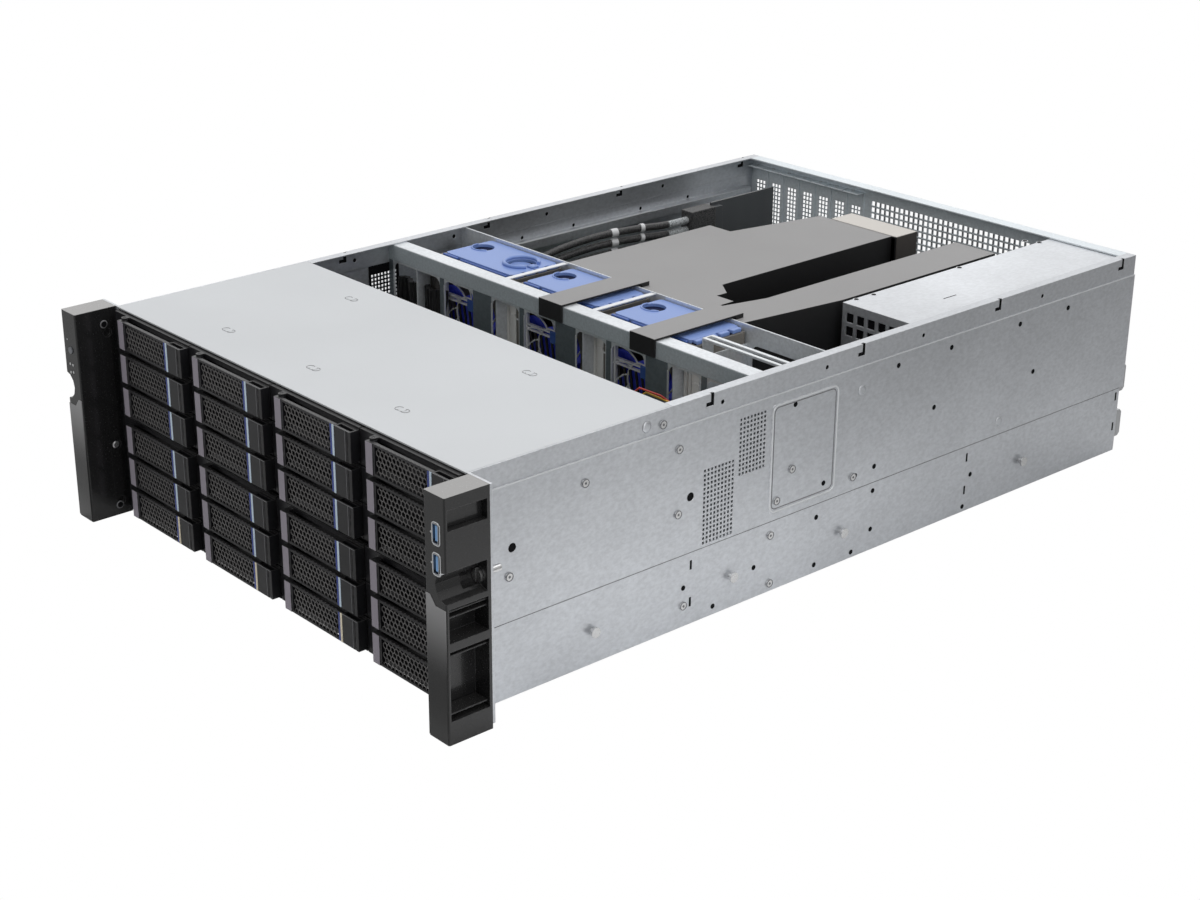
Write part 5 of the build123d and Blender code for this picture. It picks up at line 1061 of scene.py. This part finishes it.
def cap(number, x):
    finger = (x + FINGER_AT[0], FINGER_AT[1])
    ring = (x + RING_AT[0], RING_AT[1])
    has_ring = number == 1
    mesh = bmesh.new()
    holes = [oval(*finger, *FINGER_HALF)]
    if has_ring:
        holes.append(oval(*ring, RING_OUT - RING_WIDE, RING_OUT - RING_WIDE, 36))
    add_plate(mesh, rounded(x - CAP_HALF, CAP_FRONT, x + CAP_HALF, CAP_REAR, 3.0), holes, CAP_LOW, CAP_TOP)
    cap_piece("cap_plate", number, mesh, TOUCH_BLUE, bevel=0.6)
    mesh = bmesh.new()
    lip = [(px, py, 0) for px, py in oval(0, 0, FINGER_HALF[0] + 0.6, FINGER_HALF[1] + 0.6)[13:27]]
    add_tube(mesh, lip, 0.8, (*finger, CAP_TOP + 0.1))
    inner = oval(finger[0] + INNER_AT[0], finger[1] + INNER_AT[1], *INNER_HALF)
    add_plate(mesh, inner, [], CAP_TOP - 1.2, CAP_TOP - 0.6)
    if has_ring:
        open_ring = [(px, py, 0) for px, py in oval(0, 0, RING_OUT, RING_OUT, 360)[35:336:10]]
        add_tube(mesh, open_ring, 1.7, (*ring, CAP_TOP + 1.0))
        inner = oval(ring[0] + RING_INNER_AT[0], ring[1] + RING_INNER_AT[1], *RING_INNER_HALF)
        add_plate(mesh, inner, [], CAP_TOP - 1.4, CAP_TOP - 0.8)
        add_block(mesh, (ring[0] + 11.0, ring[1] - 3.5, CAP_TOP), (x + 42.0, ring[1] + 3.5, CAP_TOP + 1.4))
    cap_piece("cap_rims", number, mesh, TOUCH_BLUE, smooth=True)
    # Painted shade seen through the holes of the cap.
    cap_piece("cap_well", number, block_mesh(WELLS, x), CAP_WELL_SHADE)
    cap_piece("cap_tabs", number, block_mesh(TABS, x), TOUCH_BLUE, bevel=0.8)
    cap_piece("cap_latch", number, block_mesh(LATCHES, x), LATCH_BLUE, bevel=0.8)


for number, x in enumerate(FAN_X, 1):
    cap(number, x)
print("caps:", len(FAN_X))

# %% [markdown]
# Small dark holes and pressed dimples break up the flat sheets. One tree sets a thin disc on each
# given point, so a list of places is again all that a group of holes needs.

# %% Geometry Nodes: discs on points
def disc_tree():
    tree, get, give = new_group("discs", "GeometryNodeTree", {
        "Places": "NodeSocketGeometry", "Radius": 1.5, "Tip": 1.5, "Height": 0.1,
        "Direction": (0.0, 0.0, 1.0), "Material": "NodeSocketMaterial"}, ONE_SHAPE)
    disc = add(tree, "GeometryNodeMeshCone", None,
               {"Vertices": 20, "Radius Top": get["Tip"], "Radius Bottom": get["Radius"],
                "Depth": get["Height"]})
    turn = add(tree, "FunctionNodeAlignRotationToVector", {"axis": "Z"}, {"Vector": get["Direction"]})
    return end_with_copies(tree, get, give, get["Places"], disc.outputs["Mesh"], turn.outputs[0])


DISCS = disc_tree()
UP = (0, 0, 1)


def disc_row(name, places, direction, radius, material, slot, height=0.1, tip=None):
    """Thin discs or low cones at a list of places in millimetres, all facing one way, as one piece."""
    values = {"Radius": radius, "Tip": radius if tip is None else tip, "Height": height,
              "Direction": direction}
    return on_places(DISCS, name, places, values, material, slot)


# %% [markdown]
# The lid has five small pressed marks. Each is a low round boss with a bright middle, between two thin
# rings. The supply cage has eight screw holes with pale rims.

# %% Dimples of the lid and holes of the supply cage
LID_TOP, CAGE_TOP = 174.0, 172.5
LID_DIMPLES = [(-113, 148), (-113, 35), (-3, 36), (106, 146), (104, 35)]
CAGE_SCREWS = [(143, 447), (144, 466), (143, 571), (212, 466), (212, 445), (212, 570), (131, 671),
               (142, 676)]
disc_row("lid_dimples", [(x, y, LID_TOP - 0.02) for x, y in LID_DIMPLES], UP, 3.4, LID, "cover_paint",
         height=0.35, tip=2.4)
ring_mesh = bmesh.new()
small_ring = [(px, py, 0) for px, py in oval(0, 0, 3.0, 3.0, 20)]
for x, y in LID_DIMPLES:
    for shift in (-3.4, 3.4):
        add_tube(ring_mesh, small_ring, 0.22, (x + shift, y, LID_TOP + 0.05), closed=True)
piece("lid_rings", ring_mesh, PIPE_GREY, CHASSIS, "cover_paint", smooth=True)
disc_row("lid_dimple_middles", [(x, y, LID_TOP + 0.12) for x, y in LID_DIMPLES], UP, 1.7, ZINC,
         "cover_paint", height=0.12)
cage_holes = [(x, y, CAGE_TOP) for x, y in CAGE_SCREWS]
disc_row("cage_hole_rims", cage_holes, UP, 2.7, PALE_RIM_AND_HIGHLIGHT, "sheet_steel", height=0.16)
disc_row("cage_holes", cage_holes, UP, 1.9, DARK, "sheet_steel", height=0.24)
print("dimples of the lid:", len(LID_DIMPLES), "holes of the cage:", len(cage_holes))

# %% [markdown]
# The side walls carry round holes, upright slots, a few dimples and one upright pressed panel. A pale
# tube of painted highlight outlines the panel, with a grey tube of painted shade inside it. The left wall
# was taken as the mirror of the right one. The dimple in the rolled band at the top sits a little deeper,
# because the band does.

# %% Holes, slots and panel of the side walls
BAND_OUT, BAND_Z = 219.0, 157
WALL_HOLES = [(262, 27), (327, 9), (368, 7), (191, 33), (221, 9), (389, 52), (389, 20), (506, 33), (499, 7)]
WALL_SLOTS = [(198, 49), (198, 20), (500, 49), (500, 21), (694, 52), (694, 25)]
WALL_DIMPLES = [(370, 138), (537, 70), (154, 165)]
SLOT_HALF_Y, SLOT_HALF_Z, BAND_DIMPLE_IN = 1.0, 3.6, 0.9
PANEL_HIGHLIGHT = across_x(rounded(276.0, 66.0, 344.0, 149.0, 5.0))
PANEL_SHADE = across_x(rounded(278.0, 68.0, 342.0, 147.0, 4.0))
slot_mesh, highlight_rim_mesh, shade_mesh = bmesh.new(), bmesh.new(), bmesh.new()
for side, name in SIDES:
    wall = side * WALL_OUT
    disc_row(f"wall_holes_{name}", [(wall, y, z) for y, z in WALL_HOLES], (side, 0, 0), 2.0, DARK,
             "sheet_steel")
    dimples = [(wall - (BAND_DIMPLE_IN * side if z > BAND_Z else 0), y, z) for y, z in WALL_DIMPLES]
    disc_row(f"wall_dimples_{name}", dimples, (side, 0, 0), 4.2, ZINC, "sheet_steel", height=0.7, tip=2.2)
    add_tube(highlight_rim_mesh, PANEL_HIGHLIGHT, 0.75, (side * (WALL_OUT + 0.15), 0, 0), closed=True)
    add_tube(shade_mesh, PANEL_SHADE, 0.45, (side * (WALL_OUT - 0.1), 0, 0), closed=True)
for y, z in WALL_SLOTS:
    add_pair(slot_mesh, (WALL_OUT - 0.05, WALL_OUT + 0.06), (y - SLOT_HALF_Y, z - SLOT_HALF_Z),
             (y + SLOT_HALF_Y, z + SLOT_HALF_Z))
piece("wall_slots", slot_mesh, DARK, *ON_SHEET)
# Painted highlight and painted shade round the pressed panel.
piece("panel_rim_highlight", highlight_rim_mesh, PALE_RIM_AND_HIGHLIGHT, *ON_SHEET, smooth=True)
piece("panel_shade", shade_mesh, PIPE_GREY, *ON_SHEET, smooth=True)
print("holes of the walls:", 2 * len(WALL_HOLES), "dimples:", 2 * len(WALL_DIMPLES))

# %% [markdown]
# Long lines give a wall its build: the dark seam where pan and wall meet, and a painted highlight along
# the lower edge of the rolled band. The open hooks of the band, the holes beside them and the smallest holes
# are dark inside with painted shade. Flat screw heads show as a thin ring with a dot in the middle.

# %% Lines, dark fills and screw marks of the walls
LINE_FRONT, WALL_REAR, BAND_REAR = 2.0, 698.0, 703.0
SEAM_Z, BAND_HIGHLIGHT_Z = (58.6, 59.1), (156.9, 157.6)
HOOKS, HOOK_Z = (216, 371, 528, 686), (165.0, 173.9)
BAND_HOLES, LARGE_HOLES = (226, 332, 438, 581), ((196, 102), (35, 112))
SMALL_HOLES = [(299, 145), (333, 74), (327, 48), (368, 70), (389, 72), (455, 103), (576, 103), (410, 148),
               (471, 148), (554, 148), (615, 148)]
WALL_SCREWS = [(98, 140), (184, 92), (169, 163), (32, 92), (298, 95), (283, 74), (365, 70), (278, 48),
               (191, 19), (279, 9), (184, 141)]
SCREW_RING = across_x(oval(0, 0, 2.9, 2.9, 20))
ALONG_X = (1, 0, 0)
seam_mesh, highlight_mesh, fill_mesh, mark_mesh = bmesh.new(), bmesh.new(), bmesh.new(), bmesh.new()
add_pair(seam_mesh, (WALL_OUT - 0.05, WALL_OUT + 0.05), (LINE_FRONT, SEAM_Z[0]), (WALL_REAR, SEAM_Z[1]))
# Painted highlight along the lower edge of the band.
add_pair(highlight_mesh, (WALL_OUT - 0.4, WALL_OUT + 0.25), (LINE_FRONT, BAND_HIGHLIGHT_Z[0]),
         (BAND_REAR, BAND_HIGHLIGHT_Z[1]))
for y in HOOKS:
    add_pair(fill_mesh, (BAND_OUT - 0.9, BAND_OUT - 0.6), (y - 6.0, HOOK_Z[0]), (y + 1.6, HOOK_Z[1]))
for side, name in SIDES:
    for y in BAND_HOLES:
        add_rod(fill_mesh, (side * (BAND_OUT - 0.8), y, HOOK_Z[0]), ALONG_X, 0.3, 2.0, sides=16)
    for y, z in LARGE_HOLES:
        add_rod(fill_mesh, (side * (WALL_OUT - 0.5), y, z), ALONG_X, 0.3, 3.6, sides=24)
    for y, z in SMALL_HOLES:
        add_rod(fill_mesh, (side * (WALL_OUT - 0.2), y, z), ALONG_X, 0.5, 2.1, sides=16)
    for y, z in WALL_SCREWS:
        face = BAND_OUT if z > BAND_Z else WALL_OUT
        add_tube(mark_mesh, SCREW_RING, 0.3, (side * (face + 0.9), y, z), closed=True)
        add_rod(mark_mesh, (side * (face + 0.93), y, z), ALONG_X, 0.12, 0.95, sides=12)
piece("wall_seams", seam_mesh, SEAM, *ON_SHEET)
piece("band_edge_highlights", highlight_mesh, PALE_RIM_AND_HIGHLIGHT, *ON_SHEET)
piece("hook_shades", fill_mesh, DARK, *ON_SHEET)
piece("screw_marks", mark_mesh, SEAM, *ON_SHEET)
print("screw marks:", 2 * len(WALL_SCREWS))

# %% [markdown]
# The mouth of the supply cage is dark, because no light gets past the supplies. One thin plate shuts
# it, and the short slot in the cage's roof is a dark line.

# %% Dark mouth and slot of the supply cage
CAGE_MOUTH = ((142.4, 435.3, 12.0), (216.2, 435.6, 171.0))
CAGE_SLOT = ((186.0, 499.0, CAGE_TOP - 0.1), (187.0, 514.0, CAGE_TOP + 0.06))
for name, block in (("cage_lining", CAGE_MOUTH), ("cage_slot_line", CAGE_SLOT)):
    block_piece(name, [block], DARK, *ON_SHEET)

# %% [markdown]
# The ears carry the small things that a user meets first: blue tongues inside the two ports of the
# right ear, five pale lens marks on the left one, and on each ear a polished lower bar whose grey is a
# painted reflection. The bar is one plate with rounded edges, set on the moulding.

# %% Ear bars, ports and marks
EAR_FRONT, EAR_INNER, PORT_Z = -36.3, 220.0, (147.5, 126.5)
BAR_OUTLINE = [(220.8, 1.0), (240.9, 1.0), (240.9, 97.0), (230.5, 97.0), (225.0, 103.5), (220.8, 103.5)]
LENS_MARKS = [(-229.5, 131.0, 1.1), (-233.8, 131.0, 1.1), (-229.5, 125.0, 1.1), (-233.8, 124.0, 1.1),
              (-235.0, 151.0, 0.7)]
for side, name in SIDES:
    mesh = bmesh.new()
    front, back = [[mesh.verts.new((side * x, y, z)) for x, z in BAR_OUTLINE]
                   for y in (EAR_FRONT - 0.55, EAR_FRONT + 0.2)]
    mesh.faces.new(front)
    mesh.faces.new(back[::-1])
    for k in range(len(front)):
        after = (k + 1) % len(front)
        mesh.faces.new((front[k], back[k], back[after], front[after]))
    bmesh.ops.recalc_face_normals(mesh, faces=mesh.faces[:])
    piece(f"ear_bar_{name}", mesh, EAR_BAR, *ON_EAR, bevel=0.35)
block_piece("port_tongues", [((231.0, EAR_FRONT + 0.4, z - 5.2), (234.3, EAR_FRONT + 12.0, z + 5.2))
                             for z in PORT_Z], PORT_BLUE, CHASSIS, "connector_shell", bevel=0.3)
mesh = bmesh.new()
for z in PORT_Z:
    rim = across_y(rounded(228.6, z - 7.7, 236.4, z + 7.7, 2.4))
    add_tube(mesh, rim, 0.45, (0, EAR_FRONT, 0), closed=True)
piece("port_rims", mesh, PALE_RIM_AND_HIGHLIGHT, CHASSIS, "connector_shell", smooth=True)
mesh = bmesh.new()
for x, z, radius in LENS_MARKS:
    add_rod(mesh, (x, EAR_FRONT - 0.02, z), (0, 1, 0), 0.2, radius, sides=16)
piece("lens_marks", mesh, TIE, *ON_EAR)
disc_row("port_marks", [(227.4, EAR_FRONT, z) for z in PORT_Z], (0, -1, 0), 0.8, TIE, "ear_plastic")
print("marks on the ears:", len(LENS_MARKS) + len(PORT_Z))

# %% [markdown]
# The inner face of each ear has two holes, each a dark disc of painted shade inside a grey rim of painted
# highlight, and one screw. A thin plate closes the top pocket of the right ear, and ribs stiffen both: thin
# ledges where one pocket ends and the next begins.

# %% Holes, screws and pockets of the ears
EAR_HOLES, EAR_SCREW = ((-11.8, 161.5), (-11.2, 8.5)), (-10.5, 60.5)
POCKET_RIBS, RIB_X, RIB_Y, RIB_THICK = (94.2, 90.0, 70.6, 62.8, 21.0), (226.6, 239.6), (-33.6, -2.4), 1.1
for side, name in reversed(SIDES):
    holes, inwards = [(side * EAR_INNER, y, z) for y, z in EAR_HOLES], (-side, 0, 0)
    # Painted highlight round each hole, painted shade inside it.
    disc_row(f"ear_hole_highlights_{name}", holes, inwards, 3.4, PIPE_GREY, "ear_plastic", height=0.3, tip=2.6)
    disc_row(f"ear_holes_{name}", holes, inwards, 2.4, DARK, "ear_plastic", height=0.36)
    screw_row(f"ear_screws_{name}", [(side * (EAR_INNER - 0.3), *EAR_SCREW)], inwards, 3.0, 0.8)
block_piece("pocket_back", [((235.6, -34.2, 151.2), (235.9, -2.4, 164.8))], EAR, *ON_EAR)
mesh = bmesh.new()
for z in POCKET_RIBS:
    add_pair(mesh, RIB_X, (RIB_Y[0], z), (RIB_Y[1], z + RIB_THICK))
piece("pocket_ribs", mesh, EAR, *ON_EAR, bevel=0.3)
print("pocket ribs:", 2 * len(POCKET_RIBS))

# %% [markdown]
# Ties hold the harness, and pale woven sleeves cover its last stretch before the black plug. A ring
# round a cable is a short tube through two nearby points of the same route, slightly thicker. Fifteen
# dark cables hang in the opening left of the first fan, each with its own slow bends.

# %% Ties, sleeves, plug and bay cables
TIE_PLACES, TIE_LONG, TIE_OVER = (0.50, 0.72, 0.79), 0.014, 0.7
SLEEVE_START, SLEEVE_STEP, SLEEVE_OVER = 0.90, 0.0125, 0.25
BAY_CABLES, BAY_FIRST_X, BAY_STEP, BAY_Y = 15, -214.5, 4.2, 270.5


def route_point(along, number):
    """A point at a share of the route's points, level with one cable of the stack."""
    last = len(ROUTE) - 1
    place = min(last - 1e-6, max(0.0, along * last))
    k = int(place)
    point = Vector(ROUTE[k]).lerp(Vector(ROUTE[k + 1]), place - k)
    return (point.x, point.y, point.z - number * CABLE_STEP)


tie_mesh, pale_mesh, bay_mesh = bmesh.new(), bmesh.new(), bmesh.new()
for number in range(CABLE_COUNT):
    for along in TIE_PLACES:
        ends = [route_point(along, number), route_point(along + TIE_LONG, number)]
        add_tube(tie_mesh, ends, CABLE_R + TIE_OVER, sides=12)
    points = [route_point(SLEEVE_START + SLEEVE_STEP * k, number) for k in range(9)]
    add_tube(pale_mesh, points, CABLE_R + SLEEVE_OVER, sides=12)
for k in range(BAY_CABLES):
    x = BAY_FIRST_X + BAY_STEP * k
    bends = [(x + 1.6 * math.sin(0.9 * t + 1.7 * k), BAY_Y + 3.0 * math.sin(0.7 * t + k), 8.0 + 15.0 * t)
             for t in range(10)]
    add_tube(bay_mesh, bends, 2.4, sides=8)
piece("cable_ties", tie_mesh, TIE, *ON_CABLE)
piece("bay_cables", bay_mesh, SLEEVE_DARK, *ON_CABLE, smooth=True)
piece("pale_sleeves", pale_mesh, SLEEVE_PALE, *ON_CABLE, smooth=True)
block_piece("plug_cover", [((-167.3, 556.6, 122.3), (-152.7, 587.3, 157.7))], SLEEVE, CHASSIS,
            "connector_shell", bevel=0.8)
print("bay cables:", BAY_CABLES)

# %% [markdown]
# The block behind the main duct has a pale top and a brown side, so thin skins are laid on its packed
# shape. A few coloured wires show in the dark corners beside the fans and the supplies.

# %% End block skins and loose wires
BLOCK_TOP = [((-24.3, 601.3, 171.0), (50.3, 627.3, 171.5))]
BLOCK_SIDES = [((50.0, 601.3, 12.0), (50.5, 627.3, 171.0)), ((-24.5, 601.3, 12.0), (-24.0, 627.3, 171.0)),
               ((-24.5, 627.0, 12.0), (50.5, 627.5, 171.0))]
for name, blocks, material in (("block_top", BLOCK_TOP, BEIGE), ("block_sides", BLOCK_SIDES, BROWN)):
    block_piece(name, blocks, material, CHASSIS, "shroud_plastic", bevel=0.2)
WIRES = {
    "wire_red": (WIRE_RED, [(112, 232, 120), (120, 226, 138), (132, 228, 150), (146, 236, 146),
                            (160, 252, 130)]),
    "wire_yellow": (WIRE_YELLOW, [(116, 234, 118), (124, 229, 136), (136, 231, 147), (150, 239, 142),
                                  (163, 252, 126)]),
    "wire_green": (WIRE_GREEN, [(160, 346, 120), (162, 352, 136), (166, 362, 144), (172, 376, 138),
                                (178, 392, 118)]),
    "wire_amber": (WIRE_YELLOW, [(168, 346, 118), (172, 354, 134), (177, 366, 142), (184, 380, 134),
                                 (188, 394, 116)]),
    "wire_brick": (WIRE_RED, [(150, 346, 116), (153, 352, 130), (158, 364, 136), (166, 380, 128),
                              (172, 396, 112)]),
}
WIRE_R = 0.8
for name, (material, points) in WIRES.items():
    mesh = bmesh.new()
    add_tube(mesh, points, WIRE_R)
    piece(name, mesh, material, *ON_CABLE, smooth=True)
print("wires:", len(WIRES))

# %% [markdown]
# The camera stands where the photograph was taken from. Its place and lens were solved from the
# ears, whose width and height are rack standards, so the render can be laid over the photograph.

# %% Camera
CAMERA_AT = spot(1186.5, -757.57, 695.81)
CAMERA_TURN = (math.radians(67.2124), math.radians(0.5021), math.radians(50.4128))
LENS, SENSOR, SHIFT, SIGHT = 63.63, 36.0, (0.0732, 0.0120), 50.0
camera_data = bpy.data.cameras.new("camera")
camera_data.lens = LENS
camera_data.sensor_width = SENSOR
camera_data.sensor_fit = "HORIZONTAL"
camera_data.shift_x, camera_data.shift_y = SHIFT
camera_data.clip_end = SIGHT
camera = bpy.data.objects.new("camera", camera_data)
camera.location = CAMERA_AT
camera.rotation_euler = Euler(CAMERA_TURN)
bpy.context.scene.collection.objects.link(camera)
bpy.context.scene.camera = camera
print("camera at", [round(value, 3) for value in CAMERA_AT])

# %% [markdown]
# A plain pale floor that the camera sees as white. What the server mirrors is a grey with painted shade
# in it, which falls off to the back and to the right and is darker in front of the ears, as the sheets of
# the photograph show.

# %% Floor
WHITE = (1.0, 1.0, 1.0, 1.0)
FLOOR_SIZE, CLOUD_SCALE, CLOUD_SHARE = 6.0, 3.0, 0.05
# Each painted fall of shade holds its start and end in metres, and the tone at both.
SHADE_TO_BACK = (-0.3, 0.5, 0.80, 0.38)
SHADE_BEFORE_FRONT = (-0.42, -0.36, 0.45, 1.0)
SHADE_TO_RIGHT = (0.26, 0.52, 1.24, 0.82)


def floor_material():
    material = bpy.data.materials.new("floor_white")
    material.use_nodes = True
    tree = material.node_tree
    shader = tree.nodes["Principled BSDF"]
    place = own_place(tree)
    along = parts_of(tree, place)
    shade_to_back = ramp(tree, along["Y"], *SHADE_TO_BACK)
    shade_before_front = ramp(tree, along["Y"], *SHADE_BEFORE_FRONT, smooth=True)
    shade_to_right = ramp(tree, along["X"], *SHADE_TO_RIGHT, smooth=True)
    tone = calc(tree, "MULTIPLY_ADD", noise(tree, place, CLOUD_SCALE, 2.0), CLOUD_SHARE, shade_to_back)
    shade = calc(tree, "MULTIPLY", calc(tree, "MULTIPLY", tone, shade_to_right), shade_before_front)
    tree.links.new(shade, shader.inputs["Base Color"])
    shader.inputs["Roughness"].default_value = 0.9
    shader.inputs["Specular IOR Level"].default_value = 0.1
    path = add(tree, "ShaderNodeLightPath")
    glow = add(tree, "ShaderNodeEmission", None, {"Color": WHITE, "Strength": 1.0})
    mixed = add(tree, "ShaderNodeMixShader", None,
                {0: path.outputs["Is Camera Ray"], 1: shader.outputs[0], 2: glow.outputs[0]})
    tree.links.new(mixed.outputs[0], tree.nodes["Material Output"].inputs["Surface"])
    return material


floor_mesh = bmesh.new()
bmesh.ops.create_grid(floor_mesh, x_segments=1, y_segments=1, size=FLOOR_SIZE)
floor_data = bpy.data.meshes.new("floor")
floor_mesh.to_mesh(floor_data)
floor_mesh.free()
floor_data.materials.append(floor_material())
floor = bpy.data.objects.new("floor", floor_data)
bpy.context.scene.collection.objects.link(floor)

# %% [markdown]
# Metal shows what stands around it, so the world is a soft white: brighter towards the top, dimmer in
# front, with one large bright patch high behind the left side. Three broad lamps only shape it: the
# strongest above, one at the right and a weaker one in front.

# %% World and lamps
BRIGHT_PATCH = (-0.69, 0.58, 0.43)
SKY, PATCH, FRONT = (-0.1, 0.8, 0.20, 0.66), (0.35, 0.95, 0.0, 0.62), (-0.9, -0.1, 0.55, 1.0)
# Each lamp: its place, what it looks at, its width and height, all in metres, and its power in watts.
LAMPS = {
    "lamp_above": ((0.2, 0.1, 1.9), (0, 0, 0), (1.6, 1.6), 9.5),
    "lamp_right": ((2.2, -0.6, 0.9), (0, -0.2, 0.1), (1.2, 1.2), 9.0),
    "lamp_front": ((-0.6, -2.2, 1.1), (0, -0.3, 0.1), (1.0, 0.8), 4.0),
}


def studio_world():
    world = bpy.data.worlds.new("studio")
    world.use_nodes = True
    tree = world.node_tree
    background = tree.nodes["Background"]
    background.inputs["Color"].default_value = WHITE
    aim = add(tree, "ShaderNodeTexCoord").outputs["Generated"]
    along = parts_of(tree, aim)
    sky = ramp(tree, along["Z"], *SKY)
    patch = ramp(tree, dot(tree, aim, BRIGHT_PATCH), *PATCH, smooth=True)
    front = ramp(tree, along["Y"], *FRONT)
    glow = calc(tree, "MULTIPLY", calc(tree, "ADD", sky, patch), front)
    path = add(tree, "ShaderNodeLightPath").outputs
    seen = calc(tree, "MAXIMUM", path["Is Camera Ray"], path["Is Transmission Ray"])
    strength = add(tree, "ShaderNodeMix", {"data_type": "FLOAT"}, {0: seen, 2: glow, 3: 1.0})
    tree.links.new(strength.outputs[0], background.inputs["Strength"])
    bpy.context.scene.world = world


def soft_lamp(name, place, target, size, power):
    data = bpy.data.lights.new(name, "AREA")
    data.shape = "RECTANGLE"
    data.size, data.size_y = size
    data.energy = power
    lamp = bpy.data.objects.new(name, data)
    lamp.location = place
    lamp.rotation_euler = (Vector(target) - Vector(place)).to_track_quat("-Z", "Y").to_euler()
    bpy.context.scene.collection.objects.link(lamp)


studio_world()
for name, (place, target, size, power) in LAMPS.items():
    soft_lamp(name, place, target, size, power)
bpy.context.scene.view_settings.view_transform = "Standard"
print("lamps:", len(bpy.data.lights))
